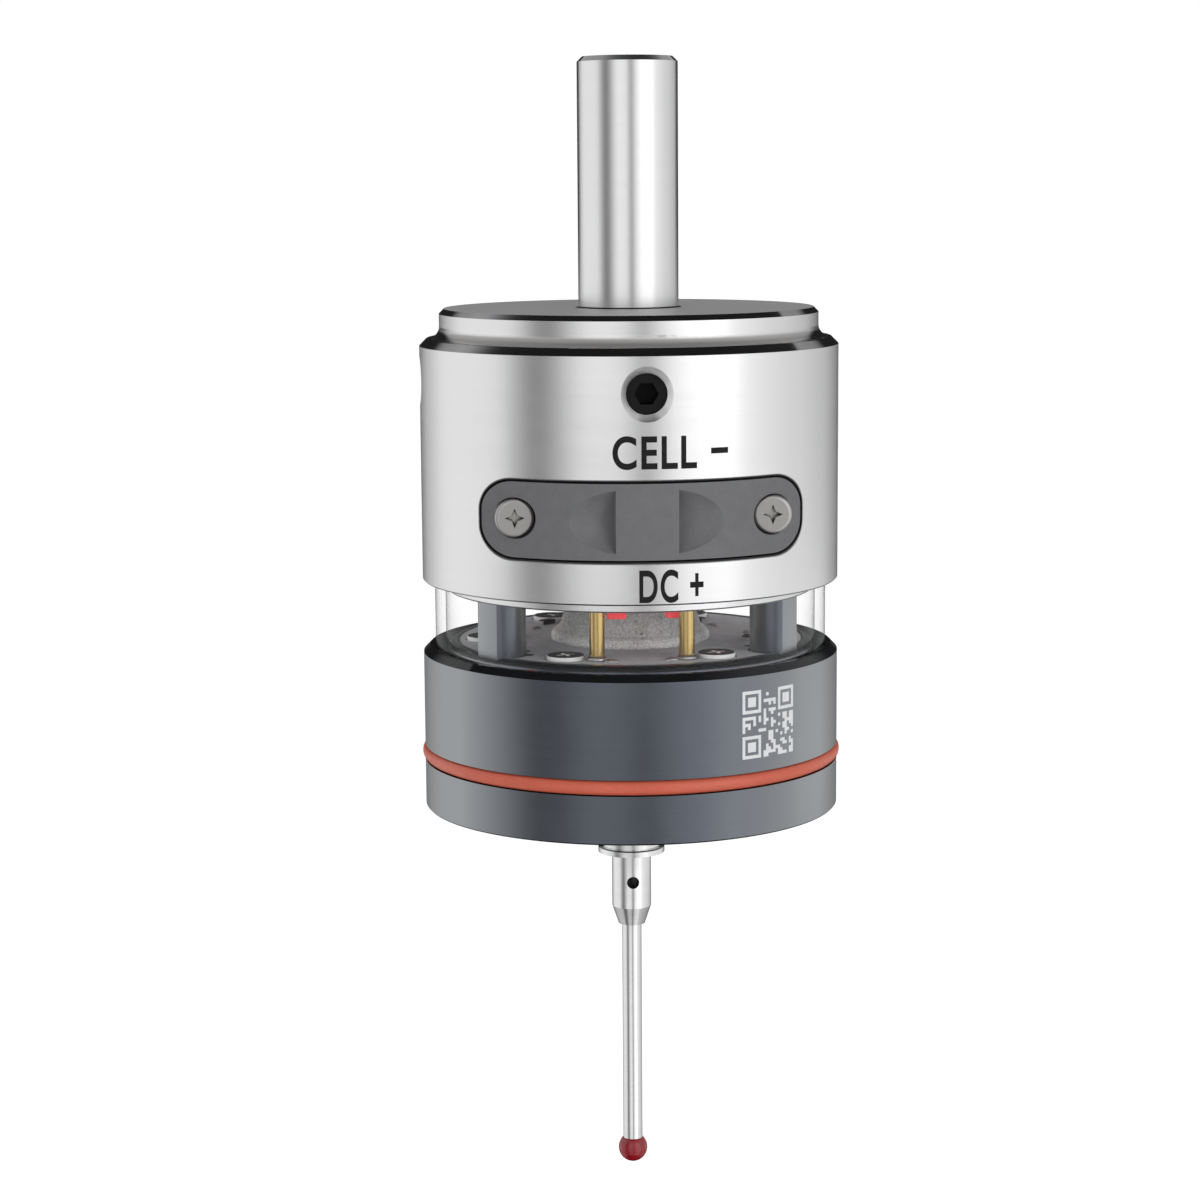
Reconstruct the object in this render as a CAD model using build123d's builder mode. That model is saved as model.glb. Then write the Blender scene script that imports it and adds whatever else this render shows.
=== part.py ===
"""A three-dimensional edge finder for a milling machine, in millimetres.

The origin is the centre of the shoulder, where the shank leaves the top disc. +Z runs up the shank, and the
battery cover faces -Y. The stylus hangs below. Heights below the shoulder are negative.
"""

from build123d import *
from math import asin, cos, degrees, hypot, radians, sin, sqrt
import os

# Shank
shank_d = 10.0
shank_length = 24.6
shank_chamfer = 0.5
shank_relief = 0.2        # radial undercut below the shoulder, so that the shank stays a clean cylinder
collar_height = 6.6
run_out_gap = 0.3         # radial room round the shank, in which the run-out is set
chamber_gap = 0.6         # radial room round the collar

# Upper housing
body_d = 41.9
upper_height = 27.1       # shoulder to the lower edge of the steel body
ledge_width = 2.0         # disc to the outside of the body
cap_height = 2.95
cap_chamfer = 0.5
cap_root = 1.2            # hollow where the disc meets the ledge
body_chamfer = 0.7
edge_break = 0.15
cap_wall = 4.0            # thickness over the shank's collar
spigot_gap = 0.18         # spigot to the window tube
spigot_height = 1.05
spigot_wall = 1.2
board_shelf = 2.4         # shelf that the upper board lies against

# Clamp plate under the shank's collar
clamp_plate_shelf = 1.6   # cavity's wall to the plate's room
clamp_plate_margin = 5.0  # plate's edge to the shank's collar
clamp_plate_thick = 2.5
clamp_screw_inset = 2.6   # plate's edge to the screws
clamp_screw_count = 4
clamp_screw_start = 45.0  # angle of the first screw
clamp_screw_d = 2.5
clamp_screw_grip = 3.6    # thread held by the upper housing
clamp_head_d = 4.4
clamp_hex = 1.5
clamp_hex_depth = 1.2

# Radial set screws
set_screw_d = 3.86
set_screw_sink = 0.9      # screws' outer ends below the body's face
set_screw_drop = 7.2      # shoulder to the screws' axis
set_screw_hex = 2.0
set_screw_hex_depth = 2.2
set_screw_tip_gap = 0.05
set_screw_cup = 0.6       # chamfer at the tip
mouth_depth = 0.65        # cone at the mouth of each hole

# Battery cover and its screws
cover_drop = 19.2         # shoulder to the middle of the cover and of the cell
pocket_width = 31.05
pocket_height = 7.6
pocket_corner = 3.1
pocket_depth = 7.75       # body's face to the pocket's flat floor
pocket_break = 0.2        # chamfer round the pocket's mouth
cover_gap = 0.18
cover_inset = 0.15        # how far the cover's face lies below the steel
grip_width = 5.5
scoop_length = 4.5
scoop_depth = 1.6
scoop_half_height = 3.05
cover_screw_inset = 3.2   # end of the pocket to the screws
cover_screw_rise = 0.12   # screws' axis above the middle of the cover
cover_screw_d = 2.0
cover_screw_wall = 0.97   # cavity's wall to the screws' tips
cover_head_d = 3.75
cover_head_height = 1.6
cover_head_dome = 0.35
cover_cross_d = 1.9       # cross recess from tip to tip
cover_cross_waist_d = 0.8
cover_cross_depth = 0.9
cover_cross_taper = 9.0
cover_head_seat = 2.2     # plastic left under each head

# Coin cell, its holder and contacts
cell_d = 20.0
cell_thick = 3.2
cell_chamfer = 0.3
cell_gap = 0.2
cell_front_gap = 0.3
holder_height = 9.4
holder_gap = 0.1
contact_width = 4.0
contact_thick = 0.3
contact_spread = 8.0
contact_recess_depth = 1.3
contact_flat = 3.2        # tail to the start of the slope
contact_touch = 6.0       # tail to the line that touches the cell
contact_reach = 7.0       # tail to the tip
contact_tip_lift = 0.4    # how far the tip turns away from the cell
contact_tail = 1.8        # distance of the tails behind the cell
contact_gap = 0.25

# Circuit boards and what they carry
board_thick = 1.6
board_gap = 0.15
lamp_width = 1.8
lamp_depth = 1.2
lamp_height = 1.35
lamp_round = 0.15
lamp_inset = 4.45         # wall of the board's bay to the lamps
lamp_angle = 12.9         # each side of the middle of a pair
lamp_turn = 2.4           # middle of a bay to the middle of a pair
buzzer_d = 9.6
buzzer_height = 3.5
buzzer_port_d = 1.6
buzzer_port_depth = 1.8
chip_length = 4.9
chip_width = 3.9
chip_thick = 1.2
upper_screw_inset = 1.45  # wall of the board's bay to the screws
upper_screw_d = 1.6
upper_screw_length = 5.0
upper_head_d = 3.0
upper_head_height = 0.8
upper_cross_length = 1.8
upper_cross_width = 0.45
upper_cross_depth = 0.5

# Window
window_height = 6.7       # steel edge to the rim of the lower housing
tube_cover = 1.15         # housing left outside the tube's slot
tube_wall = 1.05
tube_seat = 2.0           # how far the tube is let into each housing
tube_gap = 0.07

# Lower housing and its posts
lower_height = 16.4       # rim to the bottom face
rim_chamfer = 0.65
boss_rise = 0.5           # boss above the rim
boss_round = 1.0
board_lip = 0.15          # flat left round the board
web_thick = 4.0
web_bore_gap = 0.05
joint_width = 6.44        # flat of the joint, from the seal's groove to the cavity
joint_height = 5.55       # bottom face to the joint between housing and base
post_d = 4.7
post_angle = 54.5         # each side of the front; the third post is at the rear
post_gap = 0.38           # posts' outer faces to the tube
post_inset = 1.87         # outer faces to the posts' middles
post_screw_d = 2.5
post_screw_grip = 3.65    # thread held by the upper housing
post_head_d = 4.2
post_head_height = 2.4
post_hex = 2.0
post_hex_depth = 1.2
head_gap = 0.1            # round every screw and head in its clearance hole

# Lower board fixings
board_screw_inset = 2.76  # edge of the board's seat to the screws
board_screw_count = 6
board_screw_start = -60.0
board_screw_d = 2.0
board_screw_length = 6.0
board_head_d = 3.7
board_head_height = 0.45
board_head_chamfer = 0.1
board_cross_length = 2.0
board_cross_width = 0.5
board_cross_depth = 0.3
board_cross_turn = 20.0
board_sunk = 0.1          # board's face below the boss
pin_d = 1.5
pin_inset = 2.96          # edge of the board's seat to the pins
pin_angle = 17.5

# Seal ring in the joint
seal_d = 1.5
seal_proud = 0.25
groove_play = 0.06

# Base cap
base_floor = 1.8
base_hole_clear = 1.4     # room round the hub's neck
base_spigot_wall = 1.1
base_spigot_height = 1.35
base_spigot_gap = 0.1
base_screw_d = 2.5
base_screw_inset = 3.24   # seal's groove to the screws
base_screw_length = 8.0
base_head_d = 4.2
base_head_height = 2.4
base_head_depth = 2.6
base_hex = 2.0
base_hex_depth = 1.2

# Spring cap, spring and plunger
cap_flange_width = 1.4    # flange beyond the skirt
cap_flange_thick = 0.6
cap_flange_chamfer = 0.3
dome_inset = 0.73         # flange's edge to the dome's foot
dome_lean = 1.2           # dome's foot to its flat top
dome_height = 3.4
dome_bulge = 12.0
dome_roof = 1.5
skirt_wall = 0.9
skirt_length = 6.0        # below the board's face
guide_d = 11.4
guide_depth = 0.8         # guide bore starts this far below the board's face
guide_gap = 0.06
spring_bore_step = 0.9    # guide bore to the bore round the spring
spring_room = 0.35        # round the spring in its bore
spring_wire = 0.8
spring_turns = 5
spring_end_gap = 0.02
plunger_wall = 0.9
plunger_skirt = 2.2

# Ball joint of the stylus
pivot_rise = 7.6          # thrust ball's centre above the bottom face
thrust_d = 4.8
ball_gap = 0.03
plunger_clear = 1.3       # plunger's lower face above the pivot
hub_clear = 0.3           # hub's top face above the pivot
hub_wall = 1.97           # round the ball's socket
hub_height = 3.6
hub_neck_d = 6.0
hub_neck_length = 3.1
hub_pin_d = 2.0
hub_pin_drop = 1.6        # pins' axis below the pivot
hub_pin_inner = 2.9
hub_pin_tip = 1.3         # pins beyond the circle of the seat balls
hub_pin_count = 3
hub_pin_start = 90.0
press_gap = 0.01          # left open at press fits and threads, so that the solids only touch
tilt_angle = 5.0          # largest tilt to each side

# Seat ring
seat_ball_d = 2.5
seat_ball_circle_d = 12.8
seat_ball_spread = 2.7
seat_slack = 0.1
seat_ring_clear = 1.2     # room round the hub's neck
seat_ring_gap = 0.1
seat_ball_sunk = 0.16

# Carrier and stylus
carrier_d = 6.0
carrier_length = 4.8      # bottom face to the flange
flange_d = 6.8
flange_thick = 0.65
flange_chamfer = 0.12
carrier_stud_d = 2.5
carrier_stud_length = 2.2
stylus_stud_d = 3.0
stylus_stud_length = 4.0
thread_gap = 0.02
holder_d = 4.0
holder_length = 5.7
holder_cone_d = 2.7
holder_cone_length = 1.9
cross_hole_d = 1.25
cross_hole_drop = 2.95
cross_hole_depth = 3.0
stem_d = 2.0
stem_grip = 4.0
stylus_length = 31.7      # flange to the ball's centre
ball_d = 3.0
ball_spigot_d = 1.2
ball_spigot_length = 1.2

# Directions in plan, from +X
front = -90.0
rear = 90.0
edge_search = 0.01        # how near a face's height an edge is looked for

# Radii of the shank and of the upper housing, window and boards, from the outside inwards
shank_r = shank_d / 2
body_r = body_d / 2
cap_r = body_r - ledge_width
tube_slot_r = body_r - tube_cover
tube_r = tube_slot_r - tube_gap
tube_bore_r = tube_r - tube_wall
spigot_r = tube_bore_r - spigot_gap
bay_r = spigot_r - spigot_wall
cavity_r = bay_r - board_shelf
plate_r = cavity_r - clamp_plate_shelf - run_out_gap
clamp_circle_r = plate_r - clamp_screw_inset
collar_r = plate_r - clamp_plate_margin
chamber_r = collar_r + chamber_gap
set_screw_tip_r = collar_r + set_screw_tip_gap
set_screw_end_r = body_r - set_screw_sink
upper_circle_r = bay_r - upper_screw_inset
lamp_circle_r = bay_r - lamp_inset
pocket_floor = body_r - pocket_depth
cell_r = cell_d / 2

# Radii of the lower housing and the base
boss_r = tube_bore_r - tube_gap
board_seat_r = boss_r - boss_round - board_lip
board_circle_r = board_seat_r - board_screw_inset
pin_circle_r = board_seat_r - pin_inset
post_face_r = tube_bore_r - post_gap
post_circle_r = post_face_r - post_inset
post_r = post_d / 2
seal_r = seal_d / 2
seal_ring_r = body_r + seal_proud - seal_r
groove_r = seal_ring_r - seal_r - groove_play
lower_cavity_r = groove_r - joint_width
base_circle_r = groove_r - base_screw_inset
base_spigot_r = lower_cavity_r - base_spigot_gap
base_bowl_r = base_spigot_r - base_spigot_wall

# Radii of the screws
post_screw_r = post_screw_d / 2
post_head_r = post_head_d / 2
base_screw_r = base_screw_d / 2
base_head_r = base_head_d / 2
clamp_screw_r = clamp_screw_d / 2
clamp_head_r = clamp_head_d / 2

# Radii of the spring cap, the ball joint and the stylus
guide_r = guide_d / 2
skirt_r = guide_r + skirt_wall
cap_flange_r = skirt_r + cap_flange_width
dome_foot_r = cap_flange_r - dome_inset
dome_top_r = dome_foot_r - dome_lean
spring_bore_r = guide_r - spring_bore_step
spring_r = spring_bore_r - spring_room
thrust_r = thrust_d / 2
socket_r = thrust_r + ball_gap
hub_r = socket_r + hub_wall
hub_neck_r = hub_neck_d / 2
hub_pin_r = hub_pin_d / 2
seat_ball_r = seat_ball_d / 2
seat_circle_r = seat_ball_circle_d / 2
base_hole_r = hub_neck_r + base_hole_clear
seat_ring_bore_r = hub_neck_r + seat_ring_clear
ball_r = ball_d / 2

# Heights of the faces, from the shoulder down
ledge_z = -cap_height
chamber_roof_z = -cap_wall
collar_foot_z = chamber_roof_z - collar_height
cavity_roof_z = collar_foot_z - clamp_plate_thick
cover_z = -cover_drop
set_screw_z = -set_screw_drop
steel_edge_z = -upper_height
spigot_z = steel_edge_z - spigot_height
upper_board_z = spigot_z + board_thick
rim_z = steel_edge_z - window_height
boss_z = rim_z + boss_rise
lower_board_z = boss_z - board_sunk
web_z = lower_board_z - board_thick
web_foot_z = web_z - web_thick
bottom_z = rim_z - lower_height
joint_z = bottom_z + joint_height
pivot_z = bottom_z + pivot_rise
base_floor_z = bottom_z + base_floor

# Angles. The bays are the openings between the posts
post_angles = [front - post_angle, front + post_angle, rear]
side_bay = (front + post_angle + rear) / 2
bay_angles = [front, side_bay, 180 - side_bay]
board_screw_angles = [board_screw_start + 360 / board_screw_count * n for n in range(board_screw_count)]
pin_angles = [front - pin_angle, front + pin_angle]
clamp_angles = [clamp_screw_start + 360 / clamp_screw_count * n for n in range(clamp_screw_count)]
hub_pin_angles = [hub_pin_start + 360 / hub_pin_count * n for n in range(hub_pin_count)]
upper_screw_angles = [0, 180]
set_screw_angles = {"front": front, "right": 0, "rear": rear, "left": 180}
cover_screw_x = pocket_width / 2 - cover_screw_inset
cover_screw_tip = sqrt(cavity_r**2 - (cover_screw_x - cover_screw_d / 2) ** 2) + cover_screw_wall
cover_screw_z = cover_z + cover_screw_rise
cover_screw_points = [(-cover_screw_x, cover_screw_z), (cover_screw_x, cover_screw_z)]


def polar(radius, angle, height=0.0):
    """The point at this distance from the axis, at this angle from +X."""
    return (radius * cos(radians(angle)), radius * sin(radians(angle)), height)


def radial_plane(distance, angle, height):
    """A plane that faces outwards at this distance from the axis, with its own y upwards."""
    across = (-sin(radians(angle)), cos(radians(angle)), 0)
    return Plane(origin=polar(distance, angle, height), x_dir=across, z_dir=polar(1, angle))


def turn(*outline, mode=Mode.ADD):
    """Turn a closed outline of (radius, height) points about the axis of the object."""
    with BuildSketch(Plane.XZ) as section:
        with BuildLine():
            Polyline(*outline, close=True)
        make_face()
    revolve(section.sketch, axis=Axis.Z, mode=mode)


def rod(radius, low, high, points=((0, 0),), mode=Mode.ADD):
    """Upright cylinders of one radius between two heights."""
    with BuildSketch(Plane.XY.offset(low)) as section:
        with Locations(*points):
            Circle(radius)
    extrude(section.sketch, amount=high - low, dir=(0, 0, 1), mode=mode)


def hexagon(across_flats):
    """A hexagon in the active sketch."""
    RegularPolygon(across_flats / sqrt(3), 6)


def cross(length, width, turned=0.0):
    """A cross recess in the active sketch."""
    Rectangle(length, width, rotation=turned)
    Rectangle(width, length, rotation=turned)


def rims_at(height):
    """Round edges of the active part at this height, the smallest first."""
    rims = edges().filter_by(GeomType.CIRCLE)
    level = rims.filter_by_position(Axis.Z, height - edge_search, height + edge_search)
    return level.sort_by(SortBy.RADIUS)


def on_body(edge):
    """Whether an edge ends on the round face of the body at both ends."""
    return all(abs(hypot(end.X, end.Y) - body_r) < edge_search for end in edge.vertices())


def spots(radius, angles):
    """Points on a circle of this radius, in plan."""
    return [polar(radius, angle)[:2] for angle in angles]


def save(piece, name):
    """Label a finished piece and write it."""
    piece.part.label = name
    export_step(piece.part, f"parts/{name}.step")


# Places of the screws and pins, in plan
post_spots = spots(post_circle_r, post_angles)
clamp_spots = spots(clamp_circle_r, clamp_angles)
upper_spots = spots(upper_circle_r, upper_screw_angles)
pin_spots = spots(pin_circle_r, pin_angles)
board_spots = spots(board_circle_r, board_screw_angles)
base_spots = spots(base_circle_r, bay_angles)

os.makedirs("parts", exist_ok=True)

# The shank: ground cylinder, relieved neck in the cap, and the collar that the set screws push on
with BuildPart() as shank:
    turn(
        (0, collar_foot_z),
        (collar_r, collar_foot_z),
        (collar_r, chamber_roof_z),
        (shank_r - shank_relief, chamber_roof_z),
        (shank_r - shank_relief, 0),
        (shank_r, 0),
        (shank_r, shank_length - shank_chamfer),
        (shank_r - shank_chamfer, shank_length),
        (0, shank_length),
    )
save(shank, "shank")

# The upper housing: one turned piece, open below
with BuildPart() as upper_housing:
    turn(
        (shank_r + run_out_gap, 0),
        (cap_r - cap_chamfer, 0),
        (cap_r, -cap_chamfer),
        (cap_r, ledge_z),
        (body_r - body_chamfer, ledge_z),
        (body_r, ledge_z - body_chamfer),
        (body_r, steel_edge_z + edge_break),
        (body_r - edge_break, steel_edge_z),
        (tube_slot_r, steel_edge_z),
        (tube_slot_r, steel_edge_z + tube_seat),
        (spigot_r, steel_edge_z + tube_seat),
        (spigot_r, spigot_z + edge_break),
        (spigot_r - edge_break, spigot_z),
        (bay_r, spigot_z),
        (bay_r, upper_board_z),
        (cavity_r, upper_board_z),
        (cavity_r, cavity_roof_z),
        (plate_r + run_out_gap, cavity_roof_z),
        (plate_r + run_out_gap, collar_foot_z),
        (chamber_r, collar_foot_z),
        (chamber_r, chamber_roof_z),
        (shank_r + run_out_gap, chamber_roof_z),
    )
    # Hollow where the disc meets the ledge
    fillet(rims_at(ledge_z)[0], radius=cap_root)
    # Bosses in the board's bay, which the posts stand against
    with BuildSketch(Plane.XY.offset(spigot_z)):
        with Locations(*post_spots):
            Circle(post_r)
        Circle(bay_r + edge_break, mode=Mode.INTERSECT)
    extrude(amount=board_thick)
    # Threads for the post screws, the clamp plate and the upper board
    rod(
        post_screw_r + press_gap,
        spigot_z,
        spigot_z + post_screw_grip + head_gap,
        post_spots,
        Mode.SUBTRACT,
    )
    rod(
        clamp_screw_r + press_gap,
        collar_foot_z,
        collar_foot_z + clamp_screw_grip + head_gap,
        clamp_spots,
        Mode.SUBTRACT,
    )
    rod(
        upper_screw_d / 2 + press_gap,
        upper_board_z,
        upper_board_z + upper_screw_length - board_thick + head_gap,
        upper_spots,
        Mode.SUBTRACT,
    )
    # Holes for the radial set screws, in from the collar's room, each with a cone at its mouth
    for angle in set_screw_angles.values():
        with BuildSketch(radial_plane(collar_r, angle, set_screw_z)):
            Circle(set_screw_d / 2 + ball_gap)
        extrude(amount=body_r - collar_r, mode=Mode.SUBTRACT)
        with BuildSketch(radial_plane(body_r, angle, set_screw_z)):
            Circle(set_screw_d / 2 + ball_gap + mouth_depth)
        extrude(amount=-mouth_depth, taper=45, mode=Mode.SUBTRACT)
    # Pocket for the battery cover, and the slot that the cell goes through
    with BuildSketch(Plane.XZ.offset(pocket_floor)):
        with Locations((0, cover_z)):
            RectangleRounded(pocket_width, pocket_height, pocket_corner)
    extrude(amount=body_r - pocket_floor, mode=Mode.SUBTRACT)
    chamfer([edge for edge in edges(Select.LAST) if on_body(edge)], length=pocket_break)
    with BuildSketch(Plane.XZ.offset(cell_r)):
        with Locations((0, cover_z)):
            Rectangle(cell_d + 2 * cell_gap, cell_thick + 2 * cell_gap)
    extrude(amount=pocket_floor - cell_r, mode=Mode.SUBTRACT)
    # Threads for the cover's screws
    with BuildSketch(Plane.XZ.offset(pocket_floor)):
        with Locations(*cover_screw_points):
            Circle(cover_screw_d / 2 + press_gap)
    extrude(amount=cover_screw_tip - head_gap - pocket_floor, mode=Mode.SUBTRACT)
save(upper_housing, "upper_housing")

# The clamp plate, screwed up against the shank's collar
with BuildPart() as shank_clamp_plate:
    rod(plate_r, cavity_roof_z, collar_foot_z)
    with Locations(Plane.XY.offset(cavity_roof_z)):
        with Locations(*[Location((x, y, 0), (180, 0, 0)) for x, y in clamp_spots]):
            CounterSinkHole(clamp_screw_r + head_gap, clamp_head_r + head_gap, depth=clamp_plate_thick)
save(shank_clamp_plate, "shank_clamp_plate")

# Countersunk screws of the clamp plate
with BuildPart() as clamp_screws:
    for x, y in clamp_spots:
        with BuildSketch(Plane.XY.offset(cavity_roof_z)):
            with Locations((x, y)):
                Circle(clamp_head_r)
        extrude(amount=clamp_head_r - clamp_screw_r, taper=45)
        rod(clamp_screw_r, cavity_roof_z, collar_foot_z + clamp_screw_grip, [(x, y)])
    with BuildSketch(Plane.XY.offset(cavity_roof_z)):
        with Locations(*clamp_spots):
            hexagon(clamp_hex)
    extrude(amount=clamp_hex_depth, mode=Mode.SUBTRACT)
save(clamp_screws, "clamp_screws")

# Four radial set screws with a hexagon socket
for side, angle in set_screw_angles.items():
    with BuildPart() as set_screw:
        with BuildSketch(radial_plane(set_screw_tip_r, angle, set_screw_z)):
            Circle(set_screw_d / 2)
        extrude(amount=set_screw_end_r - set_screw_tip_r)
        ends = edges().filter_by(GeomType.CIRCLE)
        chamfer(ends.sort_by_distance((0, 0, set_screw_z))[0], length=set_screw_cup)
        with BuildSketch(radial_plane(set_screw_end_r, angle, set_screw_z)):
            hexagon(set_screw_hex)
        extrude(amount=-set_screw_hex_depth, mode=Mode.SUBTRACT)
    save(set_screw, f"set_screw_{side}")

# The battery cover: a thick moulding, flat behind and round in front, with a grip bar between two scoops
cover_r = body_r - cover_inset
bar_face = sqrt(cover_r**2 - (grip_width / 2) ** 2)
scoop_end_x = grip_width / 2 + scoop_length
scoop_end_face = sqrt(cover_r**2 - scoop_end_x**2)
scoop_r = (scoop_half_height**2 + scoop_depth**2) / (2 * scoop_depth)
scoop_fall = (scoop_end_face - bar_face + scoop_depth) / scoop_length
head_face = pocket_floor + cover_head_seat
with BuildPart() as battery_cover:
    with BuildSketch(Plane.XZ.offset(pocket_floor)):
        with Locations((0, cover_z)):
            RectangleRounded(
                pocket_width - 2 * cover_gap,
                pocket_height - 2 * cover_gap,
                pocket_corner - cover_gap,
            )
    extrude(amount=body_r - pocket_floor)
    with BuildSketch(Plane.XY.offset(cover_z - pocket_height)):
        Circle(cover_r)
    extrude(amount=2 * pocket_height, mode=Mode.INTERSECT)
    # Thumb scoops: round grooves that run out towards the ends of the cover
    for side in (-1, 1):
        groove_start = (side * grip_width / 2, -(bar_face - scoop_depth + scoop_r), cover_z)
        groove = Plane(origin=groove_start, x_dir=(0, 0, 1), z_dir=(side, -scoop_fall, 0))
        with BuildSketch(groove):
            Circle(scoop_r)
        extrude(amount=pocket_width / 2, mode=Mode.SUBTRACT)
    # Stepped holes for the screws
    with BuildSketch(Plane.XZ.offset(pocket_floor)):
        with Locations(*cover_screw_points):
            Circle(cover_screw_d / 2 + head_gap)
    extrude(amount=cover_head_seat, mode=Mode.SUBTRACT)
    with BuildSketch(Plane.XZ.offset(head_face)):
        with Locations(*cover_screw_points):
            Circle(cover_head_d / 2 + head_gap)
    extrude(amount=body_r - head_face, mode=Mode.SUBTRACT)
save(battery_cover, "battery_cover")

# Pan-head screws of the cover, with a cross recess
star_tips = spots(cover_cross_d / 2, (0, 90, 180, 270))
star_waist = spots(cover_cross_waist_d / 2, (45, 135, 225, 315))
star = [point for pair in zip(star_tips, star_waist) for point in pair]
with BuildPart() as cover_screws:
    with BuildSketch(Plane.XZ.offset(cover_screw_tip)):
        with Locations(*cover_screw_points):
            Circle(cover_screw_d / 2)
    extrude(amount=head_face - cover_screw_tip)
    with BuildSketch(Plane.XZ.offset(head_face)):
        with Locations(*cover_screw_points):
            Circle(cover_head_d / 2)
    extrude(amount=cover_head_height)
    rims = edges().filter_by(GeomType.CIRCLE).group_by(Axis.Y)[0]
    fillet(rims, radius=cover_head_dome)
    with BuildSketch(Plane.XZ.offset(head_face + cover_head_height)):
        with Locations(*cover_screw_points):
            Polygon(*star, align=None)
    extrude(amount=-cover_cross_depth, taper=cover_cross_taper, mode=Mode.SUBTRACT)
save(cover_screws, "cover_screws")

# The battery holder: a moulded block with a pocket for the cell and channels for the contacts
holder_r = cavity_r - holder_gap
holder_top_z = cavity_roof_z - holder_gap
holder_foot_z = holder_top_z - holder_height
cell_y = -(pocket_floor - cell_front_gap - cell_r)
cell_top_z = cover_z + cell_thick / 2
cell_foot_z = cover_z - cell_thick / 2
tail_y = cell_y + cell_r + contact_tail
strip_room = contact_width + 2 * contact_gap
tail_room = contact_thick + 2 * contact_gap
with BuildPart() as battery_holder:
    # Round, but flat in front, where the back of the cover comes
    with BuildSketch(Plane.XY.offset(holder_foot_z)):
        Circle(holder_r)
        with Locations((0, holder_gap - pocket_floor)):
            Rectangle(
                2 * holder_r,
                2 * holder_r,
                align=(Align.CENTER, Align.MIN),
                mode=Mode.INTERSECT,
            )
    extrude(amount=holder_height)
    with BuildSketch(Plane.XY.offset(cell_foot_z - cell_gap)):
        with Locations((0, cell_y)):
            Circle(cell_r + cell_gap)
        with Locations((0, cell_y)):
            Rectangle(2 * (cell_r + cell_gap), holder_r + cell_r, align=(Align.CENTER, Align.MAX))
    extrude(amount=cell_thick + 2 * cell_gap, mode=Mode.SUBTRACT)
    for side, channel_z in ((-1, cell_top_z), (1, cell_foot_z - contact_recess_depth)):
        with BuildSketch(Plane.XY.offset(channel_z)):
            with Locations((side * contact_spread / 2, tail_y + tail_room / 2)):
                Rectangle(
                    strip_room,
                    contact_reach + tail_room + contact_gap,
                    align=(Align.CENTER, Align.MAX),
                )
        extrude(amount=contact_recess_depth, mode=Mode.SUBTRACT)
        with BuildSketch(Plane.XY.offset(holder_foot_z)):
            with Locations((side * contact_spread / 2, tail_y)):
                Rectangle(strip_room, tail_room)
        extrude(amount=channel_z + contact_recess_depth - holder_foot_z, mode=Mode.SUBTRACT)
save(battery_holder, "battery_holder")

with BuildPart() as coin_cell:
    with BuildSketch(Plane.XY.offset(cell_foot_z)):
        with Locations((0, cell_y)):
            Circle(cell_r)
    extrude(amount=cell_thick)
    chamfer(edges().filter_by(GeomType.CIRCLE), length=cell_chamfer)
save(coin_cell, "coin_cell")

# The contacts: bent strips, one pressing on the cell from above and one from below
for name, side, strip_z, touch_z in (
    ("cell_spring_contact", -1, cell_top_z + contact_recess_depth - contact_gap, cell_top_z),
    ("cell_plate_contact", 1, cell_foot_z - contact_recess_depth + contact_gap, cell_foot_z),
):
    towards = 1 if touch_z > strip_z else -1
    strip_mid = strip_z + towards * contact_thick / 2
    touch_mid = touch_z - towards * (contact_thick / 2 + ball_gap)
    with BuildPart() as contact:
        with BuildSketch(Plane.YZ.offset(side * contact_spread / 2 - contact_width / 2)):
            with BuildLine():
                Polyline(
                    (tail_y, upper_board_z),
                    (tail_y, strip_mid),
                    (tail_y - contact_flat, strip_mid),
                    (tail_y - contact_touch, touch_mid),
                    (tail_y - contact_reach, touch_mid - towards * contact_tip_lift),
                )
            trace(line_width=contact_thick)
        extrude(amount=contact_width)
        # The foot is cut level with the board that it is soldered to
        with BuildSketch(Plane.XY.offset(upper_board_z)):
            Circle(cavity_r)
        extrude(amount=-contact_thick, mode=Mode.SUBTRACT)
    save(contact, name)

# The upper circuit board, notched round the housing's bosses
board_r = bay_r - board_gap
with BuildPart() as upper_board:
    with BuildSketch(Plane.XY.offset(spigot_z)):
        Circle(board_r)
        with Locations(*post_spots):
            Circle(post_r + board_gap, mode=Mode.SUBTRACT)
        with Locations(*pin_spots):
            Circle(pin_d / 2 + press_gap, mode=Mode.SUBTRACT)
        with Locations(*upper_spots):
            Circle(upper_screw_d / 2 + head_gap, mode=Mode.SUBTRACT)
    extrude(amount=board_thick)
save(upper_board, "upper_board")

with BuildPart() as upper_board_screws:
    for x, y in upper_spots:
        rod(upper_head_d / 2, spigot_z - upper_head_height, spigot_z, [(x, y)])
        rod(upper_screw_d / 2, spigot_z, spigot_z + upper_screw_length, [(x, y)])
    with BuildSketch(Plane.XY.offset(spigot_z - upper_head_height)):
        with Locations(*upper_spots):
            cross(upper_cross_length, upper_cross_width)
    extrude(amount=upper_cross_depth, mode=Mode.SUBTRACT)
save(upper_board_screws, "upper_board_screws")

# Red signal lamps under the board, a pair in each bay between the posts
lamp_angles = [bay + lamp_turn + side * lamp_angle for bay in bay_angles for side in (-1, 1)]
with BuildPart() as signal_lamps:
    with BuildSketch(Plane.XY.offset(spigot_z)):
        with Locations(*[Location((*polar(lamp_circle_r, a)[:2], 0), a) for a in lamp_angles]):
            RectangleRounded(lamp_depth, lamp_width, lamp_round)
    extrude(amount=-lamp_height)
save(signal_lamps, "signal_lamps")

with BuildPart() as buzzer:
    rod(buzzer_d / 2, upper_board_z, upper_board_z + buzzer_height)
    rod(
        buzzer_port_d / 2,
        upper_board_z + buzzer_height - buzzer_port_depth,
        upper_board_z + buzzer_height,
        mode=Mode.SUBTRACT,
    )
save(buzzer, "buzzer")

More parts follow.
